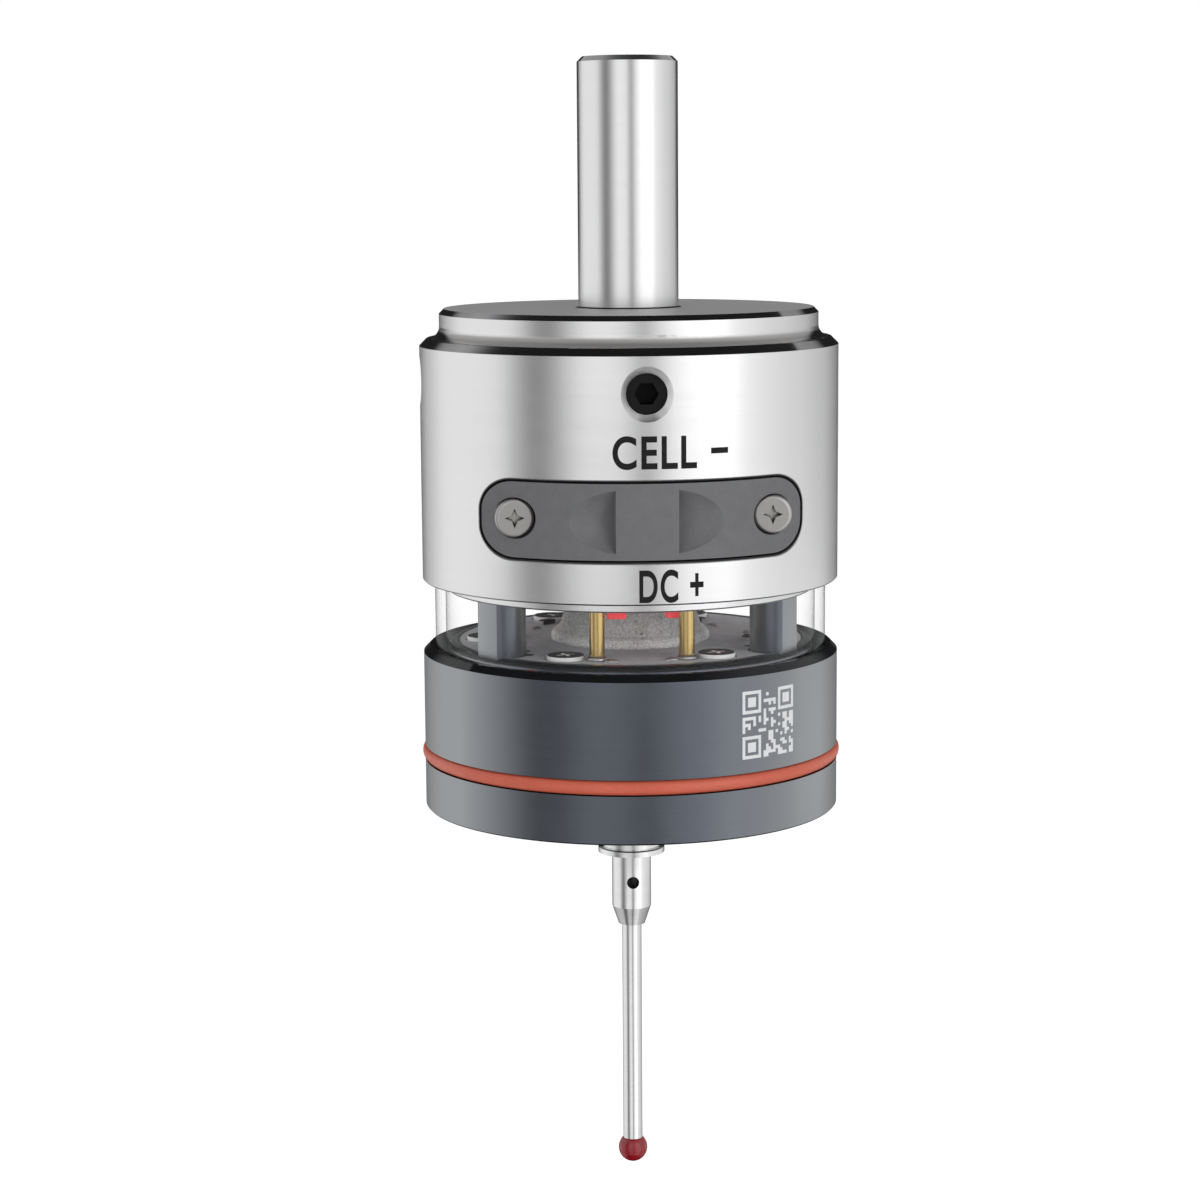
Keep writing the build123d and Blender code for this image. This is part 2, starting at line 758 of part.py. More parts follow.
with BuildPart() as control_chip:
    with Locations((0, -buzzer_d / 2 - contact_gap, upper_board_z)):
        Box(chip_length, chip_width, chip_thick, align=(Align.CENTER, Align.MAX, Align.MIN))
save(control_chip, "control_chip")

# The clear window tube, let into both housings
with BuildPart() as window_tube:
    turn(
        (tube_bore_r, rim_z - tube_seat),
        (tube_r, rim_z - tube_seat),
        (tube_r, steel_edge_z + tube_seat),
        (tube_bore_r, steel_edge_z + tube_seat),
    )
save(window_tube, "window_tube")

# The lower housing: a ring with a raised, rounded boss, a web under the board, and the three posts
groove_low_z = joint_z - seal_r - groove_play / 2
groove_high_z = joint_z + seal_r + groove_play / 2
with BuildPart() as lower_housing:
    turn(
        (skirt_r + web_bore_gap, web_z),
        (board_seat_r, web_z),
        (board_seat_r, boss_z),
        (boss_r, boss_z),
        (boss_r, rim_z - tube_seat),
        (tube_slot_r, rim_z - tube_seat),
        (tube_slot_r, rim_z),
        (body_r - rim_chamfer, rim_z),
        (body_r, rim_z - rim_chamfer),
        (body_r, groove_high_z),
        (groove_r, groove_high_z),
        (groove_r, joint_z),
        (lower_cavity_r, joint_z),
        (lower_cavity_r, web_foot_z),
        (skirt_r + web_bore_gap, web_foot_z),
    )
    fillet(rims_at(boss_z)[-1], radius=boss_round)
    # Posts, round inside and turned to the tube's bore outside
    with BuildSketch(Plane.XY.offset(web_z)):
        with Locations(*post_spots):
            Circle(post_r)
        Circle(post_face_r, mode=Mode.INTERSECT)
    extrude(amount=spigot_z - web_z)
    # Stepped holes for the long screws, from the joint up through the posts
    rod(post_screw_r + head_gap, joint_z, spigot_z, post_spots, Mode.SUBTRACT)
    rod(
        post_head_r + head_gap,
        joint_z,
        joint_z + post_head_height + head_gap,
        post_spots,
        Mode.SUBTRACT,
    )
    # Threads for the board's screws and for the base
    rod(
        board_screw_d / 2 + press_gap,
        lower_board_z - board_screw_length - head_gap,
        web_z,
        board_spots,
        Mode.SUBTRACT,
    )
    rod(
        base_screw_r + press_gap,
        joint_z,
        bottom_z + base_head_depth + base_screw_length + head_gap,
        base_spots,
        Mode.SUBTRACT,
    )
save(lower_housing, "lower_housing")

# Long screws from the joint up through the posts
post_head_top_z = joint_z + post_head_height + head_gap
with BuildPart() as post_screws:
    rod(post_screw_r, post_head_top_z, spigot_z + post_screw_grip, post_spots)
    rod(post_head_r, post_head_top_z - post_head_height, post_head_top_z, post_spots)
    with BuildSketch(Plane.XY.offset(post_head_top_z - post_head_height)):
        with Locations(*post_spots):
            hexagon(post_hex)
    extrude(amount=post_hex_depth, mode=Mode.SUBTRACT)
save(post_screws, "post_screws")

# The lower circuit board, notched round the posts
with BuildPart() as lower_board:
    with BuildSketch(Plane.XY.offset(web_z)):
        Circle(board_seat_r - board_gap)
        Circle(skirt_r + board_gap, mode=Mode.SUBTRACT)
        with Locations(*post_spots):
            Circle(post_r + board_gap, mode=Mode.SUBTRACT)
        with Locations(*pin_spots):
            Circle(pin_d / 2 + press_gap, mode=Mode.SUBTRACT)
        with Locations(*board_spots):
            Circle(board_screw_d / 2 + head_gap, mode=Mode.SUBTRACT)
    extrude(amount=board_thick)
save(lower_board, "lower_board")

with BuildPart() as board_screws:
    with BuildSketch(Plane.XY.offset(lower_board_z)):
        with Locations(*board_spots):
            Circle(board_head_d / 2)
    extrude(amount=board_head_height)
    chamfer(edges().group_by(Axis.Z)[-1], length=board_head_chamfer)
    with BuildSketch(Plane.XY.offset(lower_board_z + board_head_height)):
        with Locations(*board_spots):
            cross(board_cross_length, board_cross_width, board_cross_turn)
    extrude(amount=-board_cross_depth, mode=Mode.SUBTRACT)
    rod(board_screw_d / 2, lower_board_z - board_screw_length, lower_board_z, board_spots)
save(board_screws, "board_screws")

# Brass pins that join the two boards
with BuildPart() as contact_pins:
    rod(pin_d / 2, web_z, upper_board_z, pin_spots)
save(contact_pins, "contact_pins")

# The seal ring in the groove at the joint
with BuildPart() as seal_ring:
    with BuildSketch(Plane.XZ):
        with Locations((seal_ring_r, joint_z)):
            Circle(seal_r)
    revolve(axis=Axis.Z)
save(seal_ring, "seal_ring")

# The base cap: floor with the stylus opening, wall, and a spigot up into the lower housing
with BuildPart() as base_cap:
    turn(
        (base_hole_r, bottom_z),
        (body_r - edge_break, bottom_z),
        (body_r, bottom_z + edge_break),
        (body_r, groove_low_z),
        (groove_r, groove_low_z),
        (groove_r, joint_z),
        (base_spigot_r, joint_z),
        (base_spigot_r, joint_z + base_spigot_height),
        (base_bowl_r, joint_z + base_spigot_height),
        (base_bowl_r, base_floor_z),
        (base_hole_r, base_floor_z),
    )
    rod(base_screw_r + head_gap, bottom_z, joint_z, base_spots, Mode.SUBTRACT)
    rod(
        base_head_r + head_gap,
        bottom_z,
        bottom_z + base_head_depth,
        base_spots,
        Mode.SUBTRACT,
    )
save(base_cap, "base_cap")

with BuildPart() as base_screws:
    base_seat_z = bottom_z + base_head_depth
    rod(base_screw_r, base_seat_z, base_seat_z + base_screw_length, base_spots)
    rod(base_head_r, base_seat_z - base_head_height, base_seat_z, base_spots)
    with BuildSketch(Plane.XY.offset(base_seat_z - base_head_height)):
        with Locations(*base_spots):
            hexagon(base_hex)
    extrude(amount=base_hex_depth, mode=Mode.SUBTRACT)
save(base_screws, "base_screws")

# The spring cap: a rough cast dome with a flange on the board and a skirt that guides the plunger
flange_top_z = lower_board_z + cap_flange_thick
dome_top_z = flange_top_z + dome_height
roof_z = dome_top_z - dome_roof
guide_top_z = lower_board_z - guide_depth
skirt_foot_z = lower_board_z - skirt_length
with BuildPart() as spring_cap:
    with BuildSketch(Plane.XZ):
        with BuildLine():
            Polyline(
                (0, dome_top_z),
                (0, roof_z),
                (spring_bore_r, roof_z),
                (spring_bore_r, guide_top_z),
                (guide_r, guide_top_z),
                (guide_r, skirt_foot_z),
                (skirt_r, skirt_foot_z),
                (skirt_r, lower_board_z),
                (cap_flange_r, lower_board_z),
                (cap_flange_r, flange_top_z - cap_flange_chamfer),
                (dome_foot_r, flange_top_z),
            )
            RadiusArc((dome_foot_r, flange_top_z), (dome_top_r, dome_top_z), -dome_bulge)
            Line((dome_top_r, dome_top_z), (0, dome_top_z))
        make_face()
    revolve(axis=Axis.Z)
save(spring_cap, "spring_cap")

# The plunger: guided in the cap's skirt, with the spring above and a hollow for the thrust ball below
plunger_r = guide_r - guide_gap
plunger_foot_z = pivot_z + plunger_clear
plunger_top_z = skirt_foot_z + plunger_skirt
spring_floor_z = pivot_z + socket_r + plunger_wall
with BuildPart() as spring_plunger:
    turn(
        (0, spring_floor_z),
        (spring_bore_r, spring_floor_z),
        (spring_bore_r, plunger_top_z),
        (plunger_r, plunger_top_z),
        (plunger_r, plunger_foot_z),
        (0, plunger_foot_z),
    )
    with Locations((0, 0, pivot_z)):
        Sphere(socket_r, mode=Mode.SUBTRACT)
save(spring_plunger, "spring_plunger")

# The return spring, between the plunger's floor and the roof of the cap
coil_r = spring_r - spring_wire / 2
spring_height = roof_z - spring_floor_z - spring_wire - 2 * spring_end_gap
with BuildPart() as return_spring:
    coil_z = spring_floor_z + spring_wire / 2 + spring_end_gap
    with BuildLine() as coil:
        Helix(pitch=spring_height / spring_turns, height=spring_height, radius=coil_r, center=(0, 0, coil_z))
    with BuildSketch(Plane(origin=coil.line @ 0, z_dir=coil.line % 0)):
        Circle(spring_wire / 2)
    sweep(is_frenet=True)
save(return_spring, "return_spring")

# The thrust ball, on which the stylus tilts
with BuildPart() as thrust_ball:
    with Locations((0, 0, pivot_z)):
        Sphere(thrust_r)
save(thrust_ball, "thrust_ball")

# The spider hub: socket for the thrust ball, three radial holes for the pins, and a neck for the carrier
hub_top_z = pivot_z + hub_clear
hub_foot_z = hub_top_z - hub_height
hub_neck_z = hub_foot_z - hub_neck_length
hub_pin_z = pivot_z - hub_pin_drop
with BuildPart() as spider_hub:
    turn(
        (0, hub_neck_z),
        (hub_neck_r, hub_neck_z),
        (hub_neck_r, hub_foot_z),
        (hub_r, hub_foot_z),
        (hub_r, hub_top_z),
        (0, hub_top_z),
    )
    with Locations((0, 0, pivot_z)):
        Sphere(socket_r, mode=Mode.SUBTRACT)
    for angle in hub_pin_angles:
        with BuildSketch(radial_plane(hub_pin_inner - press_gap, angle, hub_pin_z)):
            Circle(hub_pin_r + press_gap)
        extrude(amount=hub_r, mode=Mode.SUBTRACT)
    rod(
        carrier_stud_d / 2 + thread_gap,
        hub_neck_z,
        hub_neck_z + carrier_stud_length + thread_gap,
        mode=Mode.SUBTRACT,
    )
save(spider_hub, "spider_hub")

with BuildPart() as hub_pins:
    for angle in hub_pin_angles:
        with BuildSketch(radial_plane(hub_pin_inner, angle, hub_pin_z)):
            Circle(hub_pin_r)
        extrude(amount=seat_circle_r + hub_pin_tip - hub_pin_inner)
save(hub_pins, "hub_pins")

# Three pairs of seat balls, low enough to clear the pins when the hub tilts
seat_touch = sqrt((seat_ball_r + hub_pin_r) ** 2 - (seat_ball_spread / 2) ** 2)
tilt_drop = seat_circle_r * sin(radians(tilt_angle)) + seat_slack
seat_ball_z = hub_pin_z - seat_touch - tilt_drop
pair_half = degrees(asin(seat_ball_spread / seat_ball_circle_d))
pair_angles = [angle + side * pair_half for angle in hub_pin_angles for side in (-1, 1)]
seat_ball_points = [polar(seat_circle_r, angle, seat_ball_z) for angle in pair_angles]
seat_ring_top_z = seat_ball_z + seat_ball_sunk
with BuildPart() as seat_ring:
    turn(
        (seat_ring_bore_r, base_floor_z),
        (base_bowl_r - seat_ring_gap, base_floor_z),
        (base_bowl_r - seat_ring_gap, seat_ring_top_z),
        (seat_ring_bore_r, seat_ring_top_z),
    )
    with Locations(*seat_ball_points):
        Sphere(seat_ball_r + press_gap, mode=Mode.SUBTRACT)
save(seat_ring, "seat_ring")

with BuildPart() as seat_balls:
    with Locations(*seat_ball_points):
        Sphere(seat_ball_r)
save(seat_balls, "seat_balls")

# The carrier: stud into the hub, stem through the base, flange below
flange_z = bottom_z - carrier_length
flange_foot_z = flange_z - flange_thick
with BuildPart() as stylus_carrier:
    turn(
        (0, flange_foot_z),
        (flange_d / 2, flange_foot_z),
        (flange_d / 2, flange_z - flange_chamfer),
        (flange_d / 2 - flange_chamfer, flange_z),
        (carrier_d / 2, flange_z),
        (carrier_d / 2, hub_neck_z),
        (carrier_stud_d / 2, hub_neck_z),
        (carrier_stud_d / 2, hub_neck_z + carrier_stud_length),
        (0, hub_neck_z + carrier_stud_length),
    )
    rod(
        stylus_stud_d / 2 + thread_gap,
        flange_foot_z,
        flange_foot_z + stylus_stud_length + thread_gap,
        mode=Mode.SUBTRACT,
    )
save(stylus_carrier, "stylus_carrier")

# The stylus: holder with a threaded stud, stem, and ruby ball
cone_top_z = flange_foot_z - holder_length
cone_foot_z = cone_top_z - holder_cone_length
ball_z = flange_foot_z - stylus_length
with BuildPart() as stylus_holder:
    turn(
        (0, cone_foot_z),
        (holder_cone_d / 2, cone_foot_z),
        (holder_d / 2, cone_top_z),
        (holder_d / 2, flange_foot_z),
        (stylus_stud_d / 2, flange_foot_z),
        (stylus_stud_d / 2, flange_foot_z + stylus_stud_length),
        (0, flange_foot_z + stylus_stud_length),
    )
    # Hole for a pin, with which the stylus is screwed in
    with BuildSketch(Plane.XZ.offset(holder_d / 2)):
        with Locations((0, flange_foot_z - cross_hole_drop)):
            Circle(cross_hole_d / 2)
    extrude(amount=-cross_hole_depth, mode=Mode.SUBTRACT)
    rod(stem_d / 2 + press_gap, cone_foot_z, cone_foot_z + stem_grip, mode=Mode.SUBTRACT)
save(stylus_holder, "stylus_holder")

with BuildPart() as stylus_stem:
    rod(stem_d / 2, ball_z, cone_foot_z + stem_grip)
    with Locations((0, 0, ball_z)):
        Sphere(ball_r, mode=Mode.SUBTRACT)
    rod(ball_spigot_d / 2, ball_z + ball_r - ball_spigot_length, ball_z + ball_r)
save(stylus_stem, "stylus_stem")

with BuildPart() as ruby_ball:
    with Locations((0, 0, ball_z)):
        Sphere(ball_r)
    rod(
        ball_spigot_d / 2 + press_gap,
        ball_z + ball_r - ball_spigot_length - press_gap,
        ball_z + ball_r,
        mode=Mode.SUBTRACT,
    )
save(ruby_ball, "ruby_ball")
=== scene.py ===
# %% [markdown]
# # Dressing a three-dimensional edge finder
# An edge finder is clamped by its shank in a milling machine, and its stylus touches the work. This lesson
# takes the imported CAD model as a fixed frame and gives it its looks: a studio, a finish for every piece, and
# the few pieces whose real shape is finer than the CAD solid. Each step first says what the thing is on the
# real object, how it could be made, and why it is made this way here.

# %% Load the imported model
import math
import random

import bmesh
import bpy
import mathutils
from mathutils import Matrix, Vector


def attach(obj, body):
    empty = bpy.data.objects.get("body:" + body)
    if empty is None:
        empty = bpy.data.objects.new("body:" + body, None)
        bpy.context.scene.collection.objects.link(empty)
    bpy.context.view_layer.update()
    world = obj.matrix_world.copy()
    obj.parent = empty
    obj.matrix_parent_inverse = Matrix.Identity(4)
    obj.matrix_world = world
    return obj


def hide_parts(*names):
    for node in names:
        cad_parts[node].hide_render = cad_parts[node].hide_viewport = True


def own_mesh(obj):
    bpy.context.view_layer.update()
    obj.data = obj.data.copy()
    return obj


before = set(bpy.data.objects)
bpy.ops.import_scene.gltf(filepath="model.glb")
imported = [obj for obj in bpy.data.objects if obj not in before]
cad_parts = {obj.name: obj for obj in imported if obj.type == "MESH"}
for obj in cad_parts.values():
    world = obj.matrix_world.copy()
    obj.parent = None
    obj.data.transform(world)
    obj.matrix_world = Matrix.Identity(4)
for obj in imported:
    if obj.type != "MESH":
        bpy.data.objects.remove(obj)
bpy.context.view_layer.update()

MM = 0.001

# %% [markdown]
# ## The camera
# The picture was taken from a little above the shoulder, 285 mm away, slightly to the left of the middle of
# the battery cover. A camera could be aimed with a Track To constraint. Here its place and angles were
# worked out from edges of known size, so they are written down as numbers and joined into one matrix.

# %% Place the camera
VIEW_TURN = math.radians(4.7)
CAMERA_DISTANCE = 285.516 * MM
CAMERA_HEIGHT = 13.049 * MM
CAMERA_PITCH = math.radians(8.4984)
CAMERA_YAW = math.radians(0.612)
CAMERA_ROLL = math.radians(-0.404)

camera_data = bpy.data.cameras.new("camera")
camera_data.sensor_width = 36.0
camera_data.lens = 85.337
camera = bpy.data.objects.new("camera", camera_data)
bpy.context.scene.collection.objects.link(camera)
camera.matrix_world = (
    Matrix.Translation((
        -CAMERA_DISTANCE * math.sin(VIEW_TURN),
        -CAMERA_DISTANCE * math.cos(VIEW_TURN),
        CAMERA_HEIGHT,
    ))
    @ Matrix.Rotation(CAMERA_YAW - VIEW_TURN, 4, "Z")
    @ Matrix.Rotation(math.radians(90.0) - CAMERA_PITCH, 4, "X")
    @ Matrix.Rotation(CAMERA_ROLL, 4, "Z")
)
bpy.context.scene.camera = camera
bpy.context.scene.view_settings.view_transform = "Standard"
print("camera at", tuple(round(c, 4) for c in camera.matrix_world.translation))

# %% [markdown]
# ## Tools for node materials
# A finish is a tree of nodes. It could be drawn in the node editor, but written down it can be read in
# order. Short functions keep the trees readable. One adds a node and fills or links its inputs. One starts a
# material whose shader holds the numbers that are the same all over the surface. The others mix colours by a
# share, and make masks, which are 1 where something holds and 0 elsewhere.

# %% Helpers for nodes
def add_node(tree, kind, values=None, **settings):
    """Adds a shader node. A value that is a socket is linked, and any other is written into the input."""
    node = tree.nodes.new("ShaderNode" + kind)
    for name, setting in settings.items():
        setattr(node, name, setting)
    for name, value in (values or {}).items():
        if isinstance(value, bpy.types.NodeSocket):
            tree.links.new(value, node.inputs[name])
        else:
            node.inputs[name].default_value = value
    return node


def new_finish(name, colour, roughness, **numbers):
    """A material, its node tree and its shader."""
    material = bpy.data.materials.new(name)
    material.use_nodes = True
    tree = material.node_tree
    shader = tree.nodes["Principled BSDF"]
    shader.inputs["Base Color"].default_value = (*colour, 1.0)
    shader.inputs["Roughness"].default_value = roughness
    for socket, number in numbers.items():
        shader.inputs[socket.replace("_", " ")].default_value = number
    return material, tree, shader


def spread(tree, value, low, high, start=0.35, end=0.65):
    """Turns start into low and end into high, and goes no further. Unset, they are the middle of a noise."""
    return add_node(tree, "MapRange", {
        "Value": value,
        "From Min": start,
        "From Max": end,
        "To Min": low,
        "To Max": high,
    }).outputs["Result"]


def mix_colours(tree, share, first, second):
    """The first colour where share is 0, the second where it is 1."""
    node = add_node(tree, "Mix", data_type="RGBA")
    for index, value in ((0, share), (6, first), (7, second)):
        if isinstance(value, bpy.types.NodeSocket):
            tree.links.new(value, node.inputs[index])
        elif isinstance(value, tuple):
            node.inputs[index].default_value = (*value, 1.0)
        else:
            node.inputs[index].default_value = value
    return node.outputs[2]


def do_math(tree, operation, *values):
    """One step of arithmetic on sockets or numbers."""
    return add_node(tree, "Math", dict(enumerate(values)), operation=operation).outputs[0]


def tint(tree, shader, noise, dark, light):
    """Lets the colour of the shader wander from dark to light as a noise does."""
    colour = mix_colours(tree, spread(tree, noise, 0.0, 1.0), dark, light)
    tree.links.new(colour, shader.inputs["Base Color"])


def blend(tree, share, first, second):
    """Shows the first shader where share is 0, the second where it is 1, and gives back the blend."""
    node = add_node(tree, "MixShader", {0: share, 1: first.outputs[0], 2: second.outputs[0]})
    tree.links.new(node.outputs[0], tree.nodes["Material Output"].inputs["Surface"])
    return node


def object_place(tree):
    """The place of a point of the surface, in its object's own coordinates."""
    return add_node(tree, "TexCoord").outputs["Object"]


def split(tree, vector):
    """The three parts of a vector."""
    return add_node(tree, "SeparateXYZ", {"Vector": vector}).outputs


print("node helpers are ready")

# %% Helpers for masks
def overlap(tree, *masks):
    """1 only where every mask is 1."""
    shared = masks[0]
    for mask in masks[1:]:
        shared = do_math(tree, "MULTIPLY", shared, mask)
    return shared


def rising(tree, length, start, end):
    """0 where a length is under start and 1 where it is over end, both in millimetres."""
    return spread(tree, length, 0.0, 1.0, start * MM, end * MM)


def falling(tree, length, start, end):
    """1 where a length is under start and 0 where it is over end, both in millimetres."""
    return spread(tree, length, 1.0, 0.0, start * MM, end * MM)


def band(tree, length, rise, fall):
    """1 inside a band. rise and fall are its soft edges, each a start and an end in millimetres."""
    return overlap(tree, rising(tree, length, *rise), falling(tree, length, *fall))


def seen_or_mirrored(tree):
    """1 for the camera, for mirrors and through clear walls, and 0 for light on matt surfaces."""
    ray = add_node(tree, "LightPath").outputs
    seen = do_math(tree, "MAXIMUM", ray["Is Camera Ray"], ray["Is Glossy Ray"])
    return do_math(tree, "MAXIMUM", seen, ray["Is Transmission Ray"])


print("mask helpers are ready")

# %% [markdown]
# ## The air of the studio
# Behind the object everything is white, yet the object must not be flooded with light. So the world shows
# plain white to the camera and to what is seen in or through a surface, and lights matt surfaces only half
# as much. Soft lamps give the rest: one large one from the upper right for shape, and four low ones all
# round, which reach in under the upper housing through the clear window. Mirrors don't see the lamps.

# %% Make the world
WORLD_LIGHT = 0.5

world = bpy.data.worlds.new("studio air")
bpy.context.scene.world = world
world.use_nodes = True
air = world.node_tree
air_light = air.nodes["Background"].inputs
air_light["Color"].default_value = (1.0, 1.0, 1.0, 1.0)
air.links.new(spread(air, seen_or_mirrored(air), WORLD_LIGHT, 1.0, 0.0, 1.0), air_light["Strength"])
print("world light on matt surfaces:", WORLD_LIGHT)

# %% Add the soft lamps
LAMP_TARGET = Vector((0.0, 0.0, -0.03))
LOW_LAMP_DISTANCE = 0.6
LOW_LAMP_RISE = math.radians(8.0)
# Degrees from the front of the object, to the right, and watts
LOW_LAMPS = ((-45.0, 0.9), (45.0, 1.15), (135.0, 0.9), (-135.0, 0.9))


def add_lamp(name, place, watts, size):
    """A round soft lamp that shines at the middle of the object."""
    data = bpy.data.lights.new(name, "AREA")
    data.shape = "DISK"
    data.size = size
    data.energy = watts
    lamp = bpy.data.objects.new(name, data)
    bpy.context.scene.collection.objects.link(lamp)
    lamp.location = place
    lamp.rotation_euler = (LAMP_TARGET - lamp.location).to_track_quat("-Z", "Y").to_euler()
    lamp.visible_glossy = False


add_lamp("high_lamp", (0.36, -0.47, 0.36), watts=0.6, size=0.4)
for number, (side, watts) in enumerate(LOW_LAMPS, 1):
    reach = LOW_LAMP_DISTANCE * math.cos(LOW_LAMP_RISE)
    place = (
        reach * math.sin(math.radians(side)),
        -reach * math.cos(math.radians(side)),
        LOW_LAMP_DISTANCE * math.sin(LOW_LAMP_RISE) + LAMP_TARGET.z,
    )
    add_lamp(f"low_lamp_{number}", place, watts, size=0.35)
print("lamps:", 1 + len(LOW_LAMPS))

# %% [markdown]
# ## The light cards
# Polished and turned steel shows its surroundings more than its own colour. Photographers hang grey, black
# and white cards round such an object. An image of a studio could stand in for them. Here one ring of card
# stands round the object, painted with soft stripes by a colour ramp on the angle round the upright axis.
# The steel mirrors the upper stripes, and the slate body a lower row of its own. Behind the object the card
# is dark above the stripes, so that bevels look black at the outline, and grey like a sky above that. Only
# mirrored light sees the cards: they hide nothing, light nothing and throw no shadow.

# %% Helpers for stage pieces
def add_piece(name, shape, finish, *, smooth=False):
    """Turns a bmesh into an object at the origin, and frees the bmesh."""
    mesh = bpy.data.meshes.new(name)
    shape.to_mesh(mesh)
    shape.free()
    mesh.materials.append(finish)
    mesh.polygons.foreach_set("use_smooth", [smooth] * len(mesh.polygons))
    piece = bpy.data.objects.new(name, mesh)
    bpy.context.scene.collection.objects.link(piece)
    return piece


def flat_disc(radius, height, segments):
    """A level disc."""
    shape = bmesh.new()
    bmesh.ops.create_circle(shape, cap_ends=True, radius=radius, segments=segments)
    bmesh.ops.translate(shape, vec=(0.0, 0.0, height), verts=shape.verts)
    return shape


def move_up(shape, raised, height):
    """Moves what an extrusion has made up by a height."""
    verts = [part for part in raised if isinstance(part, bmesh.types.BMVert)]
    bmesh.ops.translate(shape, vec=(0.0, 0.0, height), verts=verts)


def only_mirrored(card):
    """Makes a card a stage piece that nothing but mirrored light sees."""
    for ray in ("camera", "diffuse", "transmission", "volume_scatter", "shadow"):
        setattr(card, "visible_" + ray, False)


def glow(name):
    """A material that only gives light, its tree and its shader."""
    material = bpy.data.materials.new(name)
    material.use_nodes = True
    tree = material.node_tree
    tree.nodes.remove(tree.nodes["Principled BSDF"])
    shader = add_node(tree, "Emission")
    tree.links.new(shader.outputs[0], tree.nodes["Material Output"].inputs["Surface"])
    return material, tree, shader


def grey_ramp(tree, factor, stops):
    """A ramp of greys, from stops that are pairs of a place and a grey."""
    node = add_node(tree, "ValToRGB", {"Fac": factor})
    ramp = node.color_ramp
    ramp.interpolation = "EASE"
    while len(ramp.elements) < len(stops):
        ramp.elements.new(0.5)
    for element, (place, grey) in zip(ramp.elements, stops):
        element.position = place
        element.color = (grey, grey, grey, 1.0)
    return node.outputs["Color"]


print("stage helpers are ready")

# %% Choose the stripes
BRIGHTEST = 1.6
# Degrees from the camera, to the right, and how bright the card is there
STEEL_STRIPES = (
    (-180, 0.03), (-166, 0.05), (-156, 0.25), (-143, 0.56), (-116, 0.93), (-77, 0.93), (-50, 0.20),
    (-20, 1.04), (-4, 1.00), (8.5, 0.35), (21, 1.03), (31, 1.36), (54, 1.48), (68, 0.98), (100, 0.77),
    (127, 0.60), (153, 0.30), (162, 0.08), (180, 0.03),
)
SLATE_STRIPES = (
    (-180, 0.06), (-160, 0.25), (-145, 0.55), (-128, 0.88), (-105, 0.98), (-90, 0.86), (-75, 0.66),
    (-52, 0.34), (-20, 0.45), (3, 0.38), (22, 0.45), (42, 0.74), (58, 0.95), (80, 0.92), (110, 1.00),
    (125, 1.10), (142, 0.55), (160, 0.25), (180, 0.06),
)


def striped(tree, stops):
    """The place on a card, its angle round the upright axis from the camera, and the stripes there."""
    place = object_place(tree)
    turn = {"Vector": place, "Rotation": (0.0, 0.0, math.radians(90.0) + VIEW_TURN)}
    turned = add_node(tree, "Mapping", turn).outputs[0]
    angle = add_node(tree, "TexGradient", {"Vector": turned}, gradient_type="RADIAL").outputs["Fac"]
    shares = [(0.5 + degrees / 360.0, grey / BRIGHTEST) for degrees, grey in stops]
    return place, angle, grey_ramp(tree, angle, shares)


print("stripes on the ring:", len(STEEL_STRIPES), "above,", len(SLATE_STRIPES), "below")

# %% Paint the ring of card
SKY_BEHIND = 0.7
DARK_BEHIND = 0.02
# Heights in metres over which one zone of the card turns into the next
FOOT_TO_SLATE = (-0.228, -0.216)
SLATE_TO_STEEL = (-0.150, -0.125)
STEEL_TO_DARK = (-0.03, -0.01)
DARK_TO_SKY = (0.26, 0.36)


def behind(tree, angle, inner, outer):
    """1 behind the object. The soft edges go from inner to outer, in shares of a turn from the back."""
    stops = [(0.0, 1.0), (inner, 1.0), (outer, 0.0), (1.0 - outer, 0.0), (1.0 - inner, 1.0), (1.0, 1.0)]
    return grey_ramp(tree, angle, stops)


card, tree, shader = glow("striped_card")
place, angle, steel_stripes = striped(tree, STEEL_STRIPES)
slate_stripes = striped(tree, SLATE_STRIPES)[2]
height = split(tree, place)["Z"]
above_slate = spread(tree, height, 0.0, 1.0, *SLATE_TO_STEEL)
below_slate = spread(tree, height, 1.0, 0.0, *FOOT_TO_SLATE)
light = mix_colours(tree, do_math(tree, "MAXIMUM", above_slate, below_slate), slate_stripes, steel_stripes)
dark = overlap(tree, spread(tree, height, 0.0, 1.0, *STEEL_TO_DARK), behind(tree, angle, 0.08, 0.125))
light = mix_colours(tree, dark, light, (DARK_BEHIND / BRIGHTEST,) * 3)
sky = overlap(tree, spread(tree, height, 0.0, 1.0, *DARK_TO_SKY), behind(tree, angle, 0.06, 0.14))
light = mix_colours(tree, sky, light, (SKY_BEHIND / BRIGHTEST,) * 3)
tree.links.new(light, shader.inputs["Color"])
shader.inputs["Strength"].default_value = BRIGHTEST
print("the ring is dark behind from", STEEL_TO_DARK[0], "to", DARK_TO_SKY[1], "m")

# %% Hang the ring of card
RING_RADIUS = 0.7
RING_FOOT = -0.245
RING_TOP = 0.5

shape = bmesh.new()
rim = bmesh.ops.create_circle(shape, radius=RING_RADIUS, segments=128)["verts"]
bmesh.ops.translate(shape, vec=(0.0, 0.0, RING_FOOT), verts=rim)
raised = bmesh.ops.extrude_edge_only(shape, edges=shape.edges[:])["geom"]
move_up(shape, raised, RING_TOP - RING_FOOT)
ring = add_piece("card_ring", shape, card, smooth=True)
only_mirrored(ring)
print("ring of card from", RING_FOOT, "to", RING_TOP, "m")

# %% [markdown]
# ## The card underfoot
# Faces that look down, such as the cone of the stylus holder and the rounded lower edges, mirror the ground.
# A lamp there would light the matt pieces too. A round card with the same stripes and a dark middle lies
# there: the stripes run on over the cones, and the dark middle draws the thin black line along the lower
# edges.

